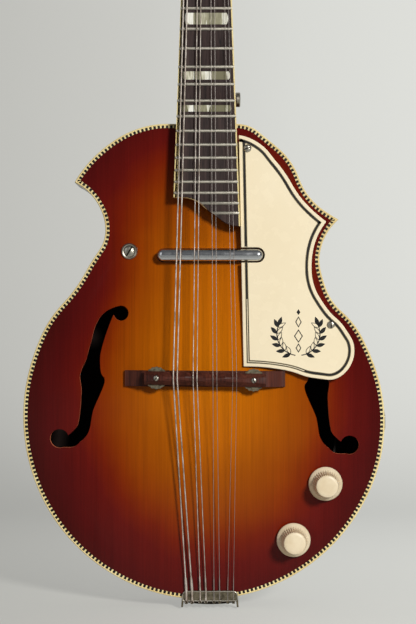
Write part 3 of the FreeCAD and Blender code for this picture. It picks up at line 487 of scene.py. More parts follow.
def new_object(name, mesh, material, body="instrument", replaces=(), slot=None, bevel=0.0, angle=32.0):
    """A piece in place, riding on its body."""
    thing = bpy.data.objects.new(name, mesh)
    bpy.context.collection.objects.link(thing)
    mesh.materials.append(materials[material])
    finish_mesh(mesh, angle)
    if bevel:
        edge = thing.modifiers.new("edge", "BEVEL")
        edge.width = bevel * MM
        edge.segments = 2
        edge.limit_method = "ANGLE"
        edge.angle_limit = math.radians(34)
        edge.harden_normals = False
    if body:
        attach(thing, body)
    if replaces:
        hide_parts(*replaces)
    return thing


def welded(node):
    """A copy of a CAD node's surface with its points joined."""
    work = bmesh.new()
    work.from_mesh(frame["nodes"][node].data)
    bmesh.ops.remove_doubles(work, verts=work.verts, dist=1e-6)
    return work


def to_mesh(work, name):
    bmesh.ops.recalc_face_normals(work, faces=work.faces)
    mesh = bpy.data.meshes.new(name)
    work.to_mesh(mesh)
    work.free()
    return mesh


def dressed(node, material, bevel=0.2, angle=32.0):
    """A CAD node with soft edges and its finish."""
    work = welded(node)
    bmesh.ops.dissolve_limit(work, angle_limit=math.radians(0.4), verts=work.verts, edges=work.edges)
    slot = next(s["material_slot"] for s in frame["record"]["subparts"] if s["node"] == node)
    return new_object("dressed_" + node, to_mesh(work, node), material, BODY_OF[node], [node], slot, bevel,
                      angle)


def solid(name, faces, thickness, direction, material, **extra):
    """Thin solid pieces: each flat outline, pushed along a direction by a thickness."""
    work = bmesh.new()
    push = direction.normalized() * (thickness * MM)
    for outline in faces:
        bottom = [work.verts.new(p) for p in outline]
        top = [work.verts.new(p + push) for p in outline]
        work.faces.new(bottom)
        work.faces.new(top)
        for k in range(len(outline)):
            work.faces.new([bottom[k - 1], bottom[k], top[k], top[k - 1]])
    return new_object(name, to_mesh(work, name), material, **extra)


def frame_of(axis):
    """Two directions square to an axis."""
    aside = axis.cross(UP if abs(axis.z) < 0.9 else RIGHT).normalized()
    return aside, axis.cross(aside).normalized()


def join_rings(work, rings):
    """Adds the faces between each ring of points and the next."""
    for near, far in zip(rings, rings[1:]):
        for k in range(len(near)):
            work.faces.new([near[k - 1], near[k], far[k], far[k - 1]])


def close_rings(work, rings):
    """Adds the faces along rings of points and over both ends."""
    join_rings(work, rings)
    work.faces.new(rings[0])
    work.faces.new(rings[-1])


def turned(work, centre, axis, profile, sides=48, flute=0.0, flutes=1):
    """Adds a turned form: rings of (radius, height, share of the flute's depth) about an axis."""
    aside, over = frame_of(axis)
    rings = []
    for radius, height, *share in profile:
        depth = flute * (share[0] if share else 0.0)
        ring = []
        for k in range(sides):
            angle = 2 * math.pi * k / sides
            reach = radius - depth * (0.5 - 0.5 * math.cos(flutes * angle)) ** 1.5
            aim = aside * math.cos(angle) + over * math.sin(angle)
            ring.append(work.verts.new(centre + aim * (reach * MM) + axis * (height * MM)))
        rings.append(ring)
    close_rings(work, rings)


def tube(work, points, radii, sides=8):
    """Adds a round tube through points, with a radius at each."""
    rings = []
    for i, point in enumerate(points):
        ahead = points[min(i + 1, len(points) - 1)] - points[max(i - 1, 0)]
        aside, over = frame_of(ahead.normalized())
        ring = []
        for k in range(sides):
            angle = 2 * math.pi * k / sides
            aim = aside * math.cos(angle) + over * math.sin(angle)
            ring.append(work.verts.new(point + aim * (radii[i] * MM)))
        rings.append(ring)
    close_rings(work, rings)


def between(start, end, steps):
    return [start.lerp(end, k / steps) for k in range(steps + 1)]


def flat_loops(node, direction, through, tolerance=0.02):
    """The edge loops of a CAD node's flat faces on one plane, longest first."""
    work = welded(node)
    work.normal_update()
    chosen = {f for f in work.faces if f.normal.dot(direction) > 0.999
              and abs((f.calc_center_median() - through).dot(direction)) < tolerance * MM}
    edges = {e for e in work.edges if sum(f in chosen for f in e.link_faces) == 1}
    loops = []
    while edges:
        edge = next(e for e in work.edges if e in edges)
        edges.discard(edge)
        loop = [edge.verts[0], edge.verts[1]]
        while True:
            following = [e for e in loop[-1].link_edges if e in edges]
            if not following:
                break
            edges.discard(following[0])
            loop.append(following[0].other_vert(loop[-1]))
        loops.append([v.co.copy() for v in loop[:-1]])
    work.free()

    def length(loop):
        return sum((a - b).length for a, b in zip(loop, loop[1:] + loop[:1]))

    return sorted(loops, key=length, reverse=True)


def area_of(loop):
    return sum(a.x * b.z - b.x * a.z for a, b in zip(loop, loop[1:] + loop[:1])) / 2


def offset(loop, distance):
    """A closed line in an upright plane, moved inwards with mitred corners."""
    turn = 1 if area_of(loop) > 0 else -1
    moved = []
    for before, here, after in zip(loop[-1:] + loop[:-1], loop, loop[1:] + loop[:1]):
        a = (here - before).normalized()
        b = (after - here).normalized()
        inward = (Vector((-a.z, 0, a.x)) + Vector((-b.z, 0, b.x))) * turn
        inward.normalize()
        lean = max(0.3, inward.dot(Vector((-a.z, 0, a.x)) * turn))
        moved.append(here + inward * (distance * MM / lean))
    return moved


def thinned(loop, least=0.3):
    """The loop without points that lie closer than a distance."""
    kept = [loop[0]]
    for point in loop[1:]:
        if (point - kept[-1]).length > least * MM:
            kept.append(point)
    return kept


def strip_faces(inner, outer, keep=lambda place: True):
    faces = []
    for k in range(len(inner)):
        quad = [inner[k - 1], inner[k], outer[k], outer[k - 1]]
        if keep(sum(quad, Vector()) / 4):
            faces.append(quad)
    return faces


def plate_edge():
    """The line where the top meets its binding."""
    return thinned(flat_loops("front_binding", FRONT, at(0, 0))[1], 0.5)


EDGE = plate_edge()


def edge_tree():
    """Finds how far a place lies from the edge of the top."""
    points = []
    for a, b in zip(EDGE, EDGE[1:] + EDGE[:1]):
        steps = max(1, int((b - a).length / MM))
        points += [a.lerp(b, k / steps) for k in range(steps)]
    tree = kdtree.KDTree(len(points))
    for index, point in enumerate(points):
        tree.insert(Vector((point.x, 0, point.z)), index)
    tree.balance()
    return tree


def swept(distance):
    """The share of the arch's height that is left near the edge."""
    share = min(max((distance - edge_flat) / edge_sweep, 0.0), 1.0)
    return share * share * (3 - 2 * share)


def smooth_line(points, steps=6):
    """Points along a smooth line through the given ones."""
    line = []
    for k in range(len(points) - 1):
        a, b = points[max(k - 1, 0)], points[k]
        c, d = points[k + 1], points[min(k + 2, len(points) - 1)]
        for step in range(steps):
            t = step / steps
            line.append(b + (c - a) * (t / 2) + (a * 2 - b * 5 + c * 4 - d) * (t * t / 2)
                        + (b * 3 - a - c * 3 + d) * (t * t * t / 2))
    return line + [points[-1]]


def holed_top():
    """The top plate with its sound holes opened to their broad, soft-cornered middle."""
    work = welded("top_plate")
    plate = bpy.data.objects.new("plate", to_mesh(work, "plate"))
    bpy.context.collection.objects.link(plate)
    knife = bmesh.new()
    for side in (1, -1):
        outline = []
        for shares in (hole_outer_shares, hole_inner_shares):
            corners = []
            for share_x, share_z in shares:
                x = hole_eye[0] + share_x * hole_length
                z = hole_eye[1] + share_z * hole_length
                corners.append(at(x, z) if side > 0 else at(2 * hole_mirror_x - x, z - hole_drop))
            outline += smooth_line(corners)
        rings = [[knife.verts.new(p + at(0, 0, height)) for p in outline]
                 for height in (-2 * plate_thickness, 2 * arch_height)]
        knife.faces.new(rings[0])
        knife.faces.new(rings[1])
        for k in range(len(outline)):
            knife.faces.new([rings[0][k - 1], rings[0][k], rings[1][k], rings[1][k - 1]])
    cutter = bpy.data.objects.new("cutter", to_mesh(knife, "cutter"))
    bpy.context.collection.objects.link(cutter)
    cut = plate.modifiers.new("cut", "BOOLEAN")
    cut.object = cutter
    cut.solver = "EXACT"
    bpy.context.view_layer.update()
    mesh = bpy.data.meshes.new_from_object(plate.evaluated_get(bpy.context.evaluated_depsgraph_get()))
    bpy.data.objects.remove(plate)
    bpy.data.objects.remove(cutter)
    work = bmesh.new()
    work.from_mesh(mesh)
    bmesh.ops.triangulate(work, faces=work.faces)
    bmesh.ops.dissolve_degenerate(work, edges=work.edges, dist=5 * SEAM * MM)
    bmesh.ops.triangulate(work, faces=[f for f in work.faces if len(f.verts) > 3])
    return work


def behind_arch(vert):
    """How far a point lies behind the arch, in millimetres."""
    return vert.co.y / MM + arch_rise(vert.co.x / MM, vert.co.z / MM, arch_height)


def arched_top():
    """The top on a finer mesh that follows the arch and sweeps down to a flat edge."""
    work = holed_top()

    def on_face(vert):
        return abs(behind_arch(vert)) < face_reach

    for _ in range(4):
        front = {v for v in work.verts if on_face(v)}
        long_edges = [e for e in work.edges
                      if e.calc_length() > 1.6 * top_grid * MM and front.issuperset(e.verts)]
        if not long_edges:
            break
        bmesh.ops.subdivide_edges(work, edges=long_edges, cuts=1)
        bmesh.ops.triangulate(work, faces=[f for f in work.faces if len(f.verts) > 3])
        for vert in work.verts:
            if vert not in front and len(vert.link_edges) and on_face(vert):
                near = [e.other_vert(vert) in front for e in vert.link_edges]
                if sum(near) >= 2 and vert.co.y < 1.5 * MM:
                    vert.co.y = -arch_rise(vert.co.x / MM, vert.co.z / MM, arch_height) * MM
    tree = edge_tree()
    for vert in work.verts:
        if on_face(vert):
            distance = tree.find(Vector((vert.co.x, 0, vert.co.z)))[2] / MM
            vert.co.y = -arch_rise(vert.co.x / MM, vert.co.z / MM, arch_height) * swept(distance) * MM
    top = new_object("arched_top", to_mesh(work, "arched_top"), "top", "instrument", ["top_plate"],
                     "spruce_top", 0.0, 30.0)
    top.data.materials.append(materials["inside"])
    top.data.materials.append(materials["edge_wood_and_highlight"])
    # Faces towards the back take the inside wood, darkened as painted shade. The walls take the bare edge
    # colour, brightened as a painted highlight.
    for face in top.data.polygons:
        if face.normal.y > 0.7:
            face.material_index = 1
        elif abs(face.normal.y) < 0.5:
            face.material_index = 2
    smooth = []
    for vert in top.data.vertices:
        x = vert.co.x / MM
        z = vert.co.z / MM
        clear = tree.find(Vector((vert.co.x, 0, vert.co.z)))[2] / MM > edge_flat + edge_sweep
        aside = arch_rise(x + SEAM, z, arch_height) - arch_rise(x - SEAM, z, arch_height)
        along = arch_rise(x, z + SEAM, arch_height) - arch_rise(x, z - SEAM, arch_height)
        slope = Vector((-aside, -2 * SEAM, -along)).normalized()
        smooth.append(slope if clear and on_face(vert) else Vector())
    normals = [Vector()] * len(top.data.loops)
    for face in top.data.polygons:
        if face.normal.y < -0.7:
            for corner in face.loop_indices:
                normals[corner] = smooth[top.data.loops[corner].vertex_index]
    top.data.normals_split_custom_set(normals)
    return top


arched_top()

# Bodies and fittings that keep their solid form
back = dressed("back_plate", "side", 0.4)
rim = dressed("rim", "side", 0.0)
back.data.materials.append(materials["inside"])
rim.data.materials.append(materials["inside"])
# The back's inner face takes the inside wood, darkened as painted shade.
for face in back.data.polygons:
    if face.normal.y < -0.7:
        face.material_index = 1
# Blocks, tone bars and guard spacers use the inside wood, darkened as painted shade.
for node, material, bevel in (
        ("front_binding", "binding", 0.7), ("body_blocks", "inside", 0.0), ("tone_bars", "inside", 0.0),
        ("neck", "neck", 0.5), ("fingerboard", "board", 0.15), ("fingerboard_binding", "binding", 0.15),
        ("frets", "fret", 0.2), ("nut", "bone", 0.2),
        ("tuner_housing_bass", "nickel", 0.5), ("tuner_housing_treble", "nickel", 0.5),
        ("bridge_base", "bridge", 0.4), ("bridge_saddle", "bridge", 0.3), ("bridge_posts", "nickel", 0.15),
        ("thumbwheel_bass", "tarnished", 0.15), ("thumbwheel_treble", "tarnished", 0.15),
        ("pickup_coil", "tape", 0.0), ("pickup_bracket", "zinc", 0.0), ("guard", "guard", 0.45),
        ("guard_spacers", "inside", 0.0), ("volume_shaft", "zinc", 0.0), ("tone_shaft", "zinc", 0.0),
        ("control_harness", "wire", 0.0), ("output_jack", "nickel", 0.25),
        ("strap_button", "nickel", 0.6)):
    dressed(node, material, bevel)
for index in range(1, 9):
    dressed("tuner_key_%d" % index, "button", 0.9)
    dressed("tuner_post_%d" % index, "nickel", 0.3)


def edge_inlay():
    """The checkered inlay: a cream band inside the binding with black blocks in it."""
    inside = offset(EDGE, -purfling_outside)
    inner = offset(EDGE, purfling_width)
    proud = at(0, 0, purfling_proud / 2)
    band = [[p + proud for p in quad] for quad in strip_faces(inner, inside)]
    solid("purfling_cream", band, purfling_cream_depth, -FRONT, "binding", slot="cream_binding")
    lengths = [0.0]
    for a, b in zip(inside, inside[1:] + inside[:1]):
        lengths.append(lengths[-1] + (b - a).length)
    count = round(lengths[-1] / (purfling_pitch * MM))
    step = lengths[-1] / count

    def along(distance):
        distance %= lengths[-1]
        k = max(i for i, reached in enumerate(lengths) if reached <= distance and i < len(inside))
        share = (distance - lengths[k]) / max(lengths[k + 1] - lengths[k], 1e-9)
        after = (k + 1) % len(inside)
        return inside[k].lerp(inside[after], share), inner[k].lerp(inner[after], share)

    blocks = []
    proud = at(0, 0, purfling_proud)
    for number in range(count):
        start = along(number * step)
        end = along(number * step + step * purfling_black_share)
        blocks.append([start[0] + proud, start[1] + proud, end[1] + proud, end[0] + proud])
    solid("purfling_black", blocks, purfling_black_depth, -FRONT, "black", slot="cream_binding")


edge_inlay()


def guard_art():
    """The guard's engraved border line, with two laurel sprigs and lozenges in its lower bout."""
    loop = thinned(flat_loops("guard", FRONT, at(0, 0, guard_face))[0], 0.4)
    notch = [p for p in loop
             if not (abs(p.z / MM - pickup_z) < guard_notch_reach + 0.1 and p.x / MM < guard_notch_right)]

    def clear(place):
        return abs(place.z / MM - pickup_z) > guard_notch_reach or place.x / MM > guard_notch_right

    def thin(place):
        return place.z / MM < guard_thin_top and place.x / MM < guard_thin_right

    def border(name, width, lift, material, keep=lambda place: True):
        outer = offset(notch, guard_border_inset - width / 2)
        inner = offset(notch, guard_border_inset + width / 2)
        ring = []
        for quad in strip_faces(inner, outer):
            steps = max(1, int((quad[1] - quad[0]).length / (2 * MM)))
            for k in range(steps):
                part = [quad[0].lerp(quad[1], k / steps), quad[0].lerp(quad[1], (k + 1) / steps),
                        quad[3].lerp(quad[2], (k + 1) / steps), quad[3].lerp(quad[2], k / steps)]
                if clear(sum(part, Vector()) / 4) and keep(part[0]):
                    ring.append([p + at(0, 0, lift) for p in part])
        solid(name, ring, guard_art_depth, -FRONT, material, slot="cream_guard")

    border("guard_line_edge", guard_halo_width, 0.02, "halo")
    border("guard_line", guard_line_width, 0.04, "black")
    border("guard_line_core", guard_core_width, 0.06, "guard", thin)

    def leaf(root, direction, length, width, shrink=0.0):
        across = Vector((-direction.z, 0, direction.x))
        points = []
        for side in (1, -1):
            for k in range(9):
                share = k / 8 if side > 0 else 1 - k / 8
                if side < 0 and k in (0, 8):
                    continue
                bulge = math.sin(math.pi * share ** 0.85) * (width / 2 - shrink)
                points.append(root + direction * ((share * (length - 3 * shrink) + 1.5 * shrink) * MM)
                              + across * (side * bulge * MM))
        return points

    stems = []
    leaves = []
    hearts = []
    for side in (-1, 1):
        stem = []
        for k in range(sprig_steps + 1):
            angle = math.radians(sprig_start + sprig_sweep * k / sprig_steps)
            stem.append(at(sprig_x + side * sprig_radius * math.cos(angle),
                           sprig_z + sprig_radius * math.sin(angle), guard_face))
        stems.append(stem)
        for k in range(3, sprig_steps + 1, 4):
            direction = (stem[min(k + 1, sprig_steps)] - stem[k - 1]).normalized()
            for turn, filled in ((side * leaf_lean, True), (-side * leaf_lean, False)):
                lean = Matrix.Rotation(math.radians(turn), 3, "Y") @ direction
                leaves.append(leaf(stem[k], lean, leaf_length, leaf_width))
                if not filled:
                    hearts.append(leaf(stem[k], lean, leaf_length, leaf_width, leaf_rim))
        leaves.append(leaf(stem[-1], (stem[-1] - stem[-2]).normalized(), tip_leaf_length, tip_leaf_width))
    for up, half, height in lozenges:
        for shrink, group in ((0.0, leaves), (lozenge_rim, hearts)):
            if half > 2 * shrink:
                aside = half - shrink
                rise = height - 1.4 * shrink
                group.append([at(sprig_x + x * aside, sprig_z + up + z * rise, guard_face)
                              for x, z in ((1, 0), (0, 1), (-1, 0), (0, -1))])
    for name, outlines, lift, material in (("guard_leaves", leaves, 0.03, "black"),
                                           ("guard_leaf_hearts", hearts, 0.05, "guard")):
        raised = [[p + at(0, 0, lift) for p in outline] for outline in outlines]
        solid(name, raised, guard_art_depth, -FRONT, material, slot="cream_guard")
    work = bmesh.new()
    for stem in stems:
        tube(work, stem, [stem_radius] * len(stem), 6)
    for vert in work.verts:
        vert.co.y = min(max(vert.co.y, -(guard_face + 0.06) * MM), -(guard_face - 0.2) * MM)
    new_object("guard_stem", to_mesh(work, "guard_stem"), "black", slot="cream_guard")


guard_art()


def half_disc(centre, axis, turn, radius, gap, side, steps=14):
    """The outline of a slotted head's half, beside its slot."""
    across, along = frame_of(axis)
    aside = across * math.cos(turn) + along * math.sin(turn)
    over = along * math.cos(turn) - across * math.sin(turn)
    edge = math.asin(gap / 2 / radius)
    points = []
    for k in range(steps + 1):
        angle = edge + (math.pi - 2 * edge) * k / steps
        points.append(centre + (aside * math.cos(angle) + over * (side * math.sin(angle))) * (radius * MM))
    return points


def screw(name, centre, axis, radius, height, turn, material="nickel", body="instrument", slot="nickel"):
    """A slotted screw head: a low disc with two halves on it."""
    # The base disc shows in the slot, darkened as painted shade.
    base = bmesh.new()
    turned(base, centre, axis, [(radius * 0.98, -0.4), (radius * 0.98, height * 0.15)], 28)
    new_object(name + "_slot", to_mesh(base, name), "metal_in_painted_shade", body, (), slot)
    work = bmesh.new()
    gap = radius * 0.32
    for side in (1, -1):
        rings = []
        for inward, up in ((0.0, 0.1), (0.0, 0.45), (0.14, 0.72), (0.36, 0.9), (0.62, 1.0)):
            outline = half_disc(centre, axis, math.radians(turn), radius * (1 - inward), gap, side)
            rings.append([work.verts.new(p + axis * (height * up * MM)) for p in outline])
        work.faces.new(rings[0])
        work.faces.new(rings[-1])
        join_rings(work, rings)
    return new_object(name, to_mesh(work, name), material, body, (), slot, 0.0, 40)


for number, (x, z) in enumerate(guard_screws):
    screw("guard_screw_%d" % (number + 1), at(x, z, guard_face), FRONT, *guard_screw_size, 20 + 70 * number)

# The cup washer and its oval screw beside the pickup
washer_base = arch_rise(washer_x, washer_z, arch_height)
work = bmesh.new()
turned(work, at(washer_x, washer_z, washer_base), FRONT, washer_profile, 48)
new_object("cup_washer", to_mesh(work, "cup_washer"), "nickel", slot="nickel")
screw("cup_washer_screw", at(washer_x, washer_z, washer_base + 1.1), FRONT, *washer_screw_size, 57)


def stadium(length, width, height, inset):
    """The pickup's outline at a height: a bar with round ends."""
    radius = width / 2 - inset
    half = length / 2 - width / 2
    points = []
    for side in (1, -1):
        for k in range(17):
            angle = math.pi * k / 16 - math.pi / 2
            x = pickup_x + side * (half + radius * math.cos(angle))
            points.append(at(x, pickup_z + side * radius * math.sin(angle), height))
    return points


def pickup():
    """A bright bar with a rounded front."""
    work = bmesh.new()
    rings = [stadium(pickup_length, pickup_width, pickup_low, 0.0)]
    for k in range(8):
        angle = math.pi / 2 * k / 7
        rings.append(stadium(pickup_length, pickup_width, pickup_top - pickup_round * (1 - math.sin(angle)),
                             pickup_dome * (1 - math.cos(angle))))
    rings = [[work.verts.new(p) for p in ring] for ring in rings]
    close_rings(work, rings)
    new_object("pickup_bar", to_mesh(work, "pickup_bar"), "chrome", "instrument", ["pickup_cover"], "nickel",
               0.0, 40)


pickup()


def knob(body, x, z):
    """A skirted knob with a fluted grip and a domed cap."""
    work = bmesh.new()
    turned(work, at(x, z, knob_lift), FRONT, knob_profile, 4 * knob_flutes, knob_flute_depth, knob_flutes)
    new_object(body + "_knob_cap", to_mesh(work, body), "knob", body, [body + "_knob"], "cream_knob", 0.0, 50)


for body, (x, z) in knob_places.items():
    knob(body, x, z)


def spread(pitch, gap, centre):
    """Where four pairs of strings lie across the instrument."""
    places = []
    for pair in (-1.5, -0.5, 0.5, 1.5):
        places += [centre + pair * pitch - gap / 2, centre + pair * pitch + gap / 2]
    return places


def strings():
    """Strings in two runs that bend at the saddle, with looped tail ends and turns round the posts."""
    tails = spread(tail_pair_pitch, tail_pair_gap, tail_middle_x)
    crests = spread(crest_pair_pitch, crest_pair_gap, bridge_centre_x)
    nuts = spread(nut_pair_pitch, nut_pair_gap, neck_offset)
    runs = {"wound": (bmesh.new(), bmesh.new()), "plain": (bmesh.new(), bmesh.new())}
    for i, width in enumerate(string_diameters):
        kind = "wound" if i < 4 else "plain"
        tail_run, neck_run = runs[kind]
        radius = width / 2
        lift = radius + string_seat
        side = -1 if i < 4 else 1
        up = first_tuner + tuner_pitch * (i if i < 4 else 7 - i)
        hook = at(tails[i], loop_z, tail_shelf_height + lift)
        shelf = at(tails[i], tail_front_z, tail_shelf_height + lift)
        skew = (crests[i] - bridge_centre_x) * math.tan(math.radians(bridge_skew))
        crest = at(crests[i], saddle_z - skew, saddle_height + lift + string_break)
        nut = at(nuts[i], nut_z + nut_thickness, string_nut_height)
        post = head_at(side * (post_side - post_radius - string_seat - radius), up, 5.5)
        points = [hook] + between(shelf, crest, 40)
        wrap = [max(radius * 1.9 if (p - hook).length < wrap_length * MM else radius, 0.0) for p in points]
        tube(tail_run, points, wrap, 10)
        loop = []
        for k in range(15):
            angle = math.pi / 2 - 2 * math.pi * k / 14
            loop.append(at(tails[i] + loop_radius * math.cos(angle),
                           loop_z + loop_radius * (math.sin(angle) - 1), tail_shelf_height + lift))
        tube(tail_run, loop, [radius] * len(loop), 6)
        run = between(crest, nut, 48) + between(nut, post, 6)[1:]
        tube(neck_run, run, [radius] * len(run), 10)
        winding = bmesh.new()
        hub = post_radius + radius + 0.04
        turns = []
        for k in range(winding_turns * 20 + 1):
            angle = 2 * math.pi * k / 20
            turns.append(head_at(side * post_side + hub * math.cos(angle), up, winding_low + width * k / 20)
                         + HEAD_UP * (hub * math.sin(angle) * MM))
        tube(winding, turns, [radius] * len(turns), 6)
        number = i + 1 if i < 4 else 12 - i
        new_object("string_turns_%d" % (i + 1), to_mesh(winding, "turns"), kind, "post_%d" % number, (),
                   kind + "_wire")
    for kind, (tail_run, neck_run) in runs.items():
        slot = kind + "_wire"
        lower = new_object(kind + "_strings_tail", to_mesh(tail_run, kind), kind, None, [kind + "_strings"],
                           slot, 0.0, 60)
        upper = new_object(kind + "_strings_neck", to_mesh(neck_run, kind), kind, None, (), slot, 0.0, 60)
        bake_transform(lower)
        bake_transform(upper)


strings()


def markers():
    """Pearl blocks with rounded ends, let into the fingerboard."""
    blocks = []
    for fret, share in marker_shares.items():
        near = scale_length * (1 - 2 ** ((1 - fret) / 12))
        far = scale_length * (1 - 2 ** (-fret / 12))
        half = (far - near) * share / 2
        middle = (near + far) / 2
        width = board_nut_width + (board_end_width - board_nut_width) * far / board_end_down
        reach = width / 2 - marker_margin
        outline = []
        for side in (1, -1):
            for k in range(9):
                z = side * half * (k / 4 - 1)
                x = side * (reach + marker_bulge * (1 - (z / half) ** 2))
                outline.append(board_at(x, middle - z, 0.06))
        blocks.append(outline)
    solid("pearl_markers", blocks, 0.5, board_at(0, 0, -1) - board_at(0, 0), "pearl",
          replaces=["position_markers"], slot="pearl")


markers()


def tail_dress():
    """The stamped tailpiece with a raised bead round its plate, short hooks and splayed ears."""
    work = welded("tailpiece")
    for vert in work.verts:
        drop = -vert.co.z / MM - tail_shelf_height
        aside = vert.co.x / MM - tail_middle_x
        if drop > 0.01:
            ear = abs(aside) > tail_width / 2 - ear_width
            vert.co.z = -(tail_shelf_height + drop * (ear_share if ear else hook_share)) * MM
            if ear:
                vert.co.x += math.copysign(drop * ear_splay_share, aside) * MM
    new_object("stamped_tail", to_mesh(work, "stamped_tail"), "tarnished", "instrument", ["tailpiece"],
               "nickel", 0.25)
    reach = tail_width / 2 - tail_bead
    low = -tail_shelf_height + tail_bead
    high = tail_front_z - tail_bead
    path = []
    for side, base, start in ((1, low, -90), (1, high, 0), (-1, high, 90), (-1, low, 180)):
        for k in range(7):
            angle = math.radians(start + 15 * k)
            round_off = tail_corner * (0.9 if base > 0 else 0.35)
            path.append(at(tail_middle_x + side * (reach - round_off) + round_off * math.cos(angle),
                           base + (-round_off if base > 0 else round_off) + round_off * math.sin(angle),
                           tail_shelf_height + 0.1))
    foot = []
    for k in range(13):
        share = k / 6 - 1
        foot.append(at(tail_middle_x + share * (tail_width / 2 - tail_corner),
                       -tail_shelf_height - flange_depth * (1 - 0.5 * share * share), -tail_shelf_height))
    upper = [at(tail_middle_x + side * (tail_width / 2 - tail_corner), 0, -tail_shelf_height)
             for side in (1, -1)]
    # The flange under the plate is darkened as painted shade.
    solid("tail_flange", [foot + upper], flange_thickness, -FRONT, "metal_in_painted_shade", slot="nickel", bevel=0.3)
    bead = bmesh.new()
    tube(bead, path + path[:1], [tail_bead] * (len(path) + 1), 8)
    new_object("tail_bead", to_mesh(bead, "tail_bead"), "nickel", slot="nickel", angle=60.0)


tail_dress()


def head_dress():
    """A black face on the headstock, with a ferrule round each post and screws in the gear housings."""
    loop = flat_loops("neck", HEAD_FRONT, head_at(0, 50, 0), 0.05)[0]
    work = bmesh.new()
    face = work.faces.new([work.verts.new(p + HEAD_FRONT * (SEAM * MM)) for p in loop])
    pushed = bmesh.ops.extrude_face_region(work, geom=[face])
    for item in pushed["geom"]:
        if isinstance(item, bmesh.types.BMVert):
            item.co += HEAD_FRONT * (veneer_thickness * MM)
    new_object("head_veneer", to_mesh(work, "head_veneer"), "veneer", slot="neck_wood", bevel=0.15)
    for number, (side, row) in enumerate([(s, r) for s in (-1, 1) for r in range(4)]):
        up = first_tuner + tuner_pitch * row
        work = bmesh.new()
        turned(work, head_at(side * post_side, up, veneer_thickness), HEAD_FRONT,
               [(ferrule_radius, -0.3), (ferrule_radius, 0.6), (ferrule_radius - 0.4, 1.1),
                (post_radius + 0.6, 1.5), (post_radius + 0.1, 1.4), (post_radius + 0.1, 0.2)], 40)
        new_object("post_ferrule_%d" % (number + 1), to_mesh(work, "ferrule"), "nickel", slot="nickel")
    for side in (-1, 1):
        for row in range(5):
            up = first_tuner + tuner_pitch * (row - 0.5) + key_offset / 2
            if row == 0:
                up = first_tuner - housing_low_reach
            if row == 4:
                up = first_tuner + 3 * tuner_pitch + housing_high_reach
            place = head_at(side * post_side, up, -head_thickness - housing_height)
            screw("housing_screw_%d" % (row + 1 + (5 if side > 0 else 0)), place, -HEAD_FRONT,
                  *housing_screw_size, 37 * row)


head_dress()

for number, x in enumerate((bridge_centre_x - bridge_post_side, bridge_centre_x + bridge_post_side)):
    skew = (x - bridge_centre_x) * math.tan(math.radians(bridge_skew))
    screw("bridge_post_slot_%d" % (number + 1), at(x, saddle_z - skew, bridge_post_height), FRONT,
          *bridge_post_size, 48 + 60 * number)


def paper():
    """Pale paper that keeps its shadows, with painted light: brighter to the right, and a painted shade band
    where it bends up.
    """
    n = Nodes("pale_paper_with_painted_light")
    x, y, _ = n.split()
    rays = n.add("ShaderNodeLightPath").outputs
    seen = n.math("MAXIMUM", rays["Is Glossy Ray"], rays["Is Transmission Ray"])
    seen = n.math("MAXIMUM", rays["Is Camera Ray"], seen)
    # Painted light: the paper grows brighter towards the right.
    slope = n.math("DIVIDE", x, n.math("ADD", y, 1.0))
    cloud = n.noise(n.place, 2.0, 2.0)
    tone = n.math("ADD", n.math("MULTIPLY", slope, 2.0), n.math("ADD", n.math("MULTIPLY", cloud, 0.06), 0.47))
    colour = n.ramp(tone, [(0.18, srgb(196, 196, 191)), (0.42, srgb(210, 210, 205)),
                           (0.62, srgb(226, 227, 222)), (0.85, srgb(234, 235, 230))])
    # Painted shade: a soft darker band where the floor starts to bend up.
    bend = n.math("DIVIDE", n.math("SUBTRACT", y, 0.5), 0.25)
    bend = n.math("EXPONENT", n.math("MULTIPLY", n.math("MULTIPLY", bend, bend), -1.0))
    painted_backdrop_light = n.add("ShaderNodeEmission")
    n.link(colour, painted_backdrop_light.inputs["Color"])
    n.link(n.math("SUBTRACT", 0.95, n.math("MULTIPLY", bend, 0.22)), painted_backdrop_light.inputs["Strength"])
    near = n.math("DIVIDE", n.math("ADD", y, 0.35), 0.15, True)
    lit = n.mix(n.math("MAXIMUM", rays["Is Camera Ray"], near), grey(0.0), srgb(222, 222, 216))
    n.set(color=lit, rough=0.9, specular=0.0)
    depth = n.math("DIVIDE", y, 0.4, True)
    mix = n.add("ShaderNodeMixShader")
    n.link(n.math("MULTIPLY", seen, n.math("ADD", n.math("MULTIPLY", depth, 0.3), 0.58)), mix.inputs[0])
    n.link(n.shader.outputs[0], mix.inputs[1])
    n.link(painted_backdrop_light.outputs[0], mix.inputs[2])
    clear = n.add("ShaderNodeBsdfTransparent")
    behind = n.add("ShaderNodeMixShader")
    back = n.add("ShaderNodeNewGeometry").outputs["Backfacing"]
    n.link(n.math("MULTIPLY", back, rays["Is Camera Ray"]), behind.inputs[0])
    n.link(mix.outputs[0], behind.inputs[1])
    n.link(clear.outputs[0], behind.inputs[2])
    n.link(behind.outputs[0], n.tree.nodes["Material Output"].inputs["Surface"])
    return n.material


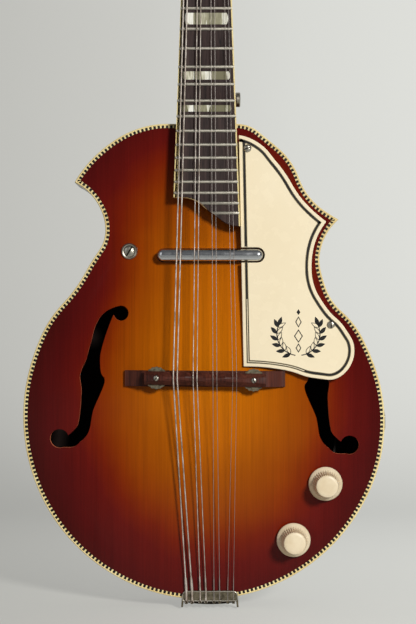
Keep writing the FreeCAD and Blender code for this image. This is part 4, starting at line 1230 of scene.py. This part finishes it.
def stage():
    """A pale floor that sweeps up into a backdrop."""
    half = 2.6
    floor_z = -6.4 * MM
    front = -2.4
    depth = 1.0
    bend = 0.5
    top = 3.0
    profile = [(front, floor_z), (depth - bend, floor_z)]
    for k in range(1, 13):
        angle = math.pi / 2 * k / 12
        profile.append((depth - bend + bend * math.sin(angle), floor_z + bend * (1 - math.cos(angle))))
    profile.append((depth, top))
    verts = [(x, y, z) for x in (-half, half) for y, z in profile]
    count = len(profile)
    faces = [(count + k, count + k + 1, k + 1, k) for k in range(count - 1)]
    mesh = bpy.data.meshes.new("sweep")
    mesh.from_pydata(verts, [], faces)
    mesh.shade_smooth()
    mesh.materials.append(paper())
    sweep = bpy.data.objects.new("sweep", mesh)
    bpy.context.collection.objects.link(sweep)


stage()


def lamp(name, place, target, width, power, colour):
    light = bpy.data.lights.new(name, "AREA")
    light.shape = "DISK"
    light.size = width
    light.energy = power
    light.color = colour
    thing = bpy.data.objects.new(name, light)
    bpy.context.collection.objects.link(thing)
    thing.location = place
    thing.rotation_euler = (Vector(target) - Vector(place)).to_track_quat("-Z", "Y").to_euler()


lamp("key", (0.85, -1.75, 0.85), (0, 0, 0.2), 0.35, 38, (1.0, 0.985, 0.96))
lamp("fill", (-1.5, -1.4, 0.9), (0, 0, 0.2), 1.6, 4, (0.97, 0.98, 1.0))

world = bpy.data.worlds.new("studio")
bpy.context.scene.world = world
world.use_nodes = True
sky = world.node_tree.nodes["Background"]
sky.inputs["Color"].default_value = (0.9, 0.92, 0.95, 1)
seen = world.node_tree.nodes.new("ShaderNodeMapRange")
seen.inputs["To Min"].default_value = 0.14
seen.inputs["To Max"].default_value = 0.6
path = world.node_tree.nodes.new("ShaderNodeLightPath")
world.node_tree.links.new(path.outputs["Is Camera Ray"], seen.inputs["Value"])
world.node_tree.links.new(seen.outputs["Result"], sky.inputs["Strength"])

camera = bpy.data.cameras.new("camera")
camera.sensor_width = sensor
camera.lens = sensor * camera_distance / picture_height
camera.clip_start = 0.05
camera.clip_end = 20
view = bpy.data.objects.new("camera", camera)
bpy.context.collection.objects.link(view)
view.location = at(camera_x, camera_z, camera_distance)
view.rotation_euler = (math.pi / 2, 0, 0)
bpy.context.scene.camera = view
bpy.context.scene.view_settings.view_transform = "Standard"
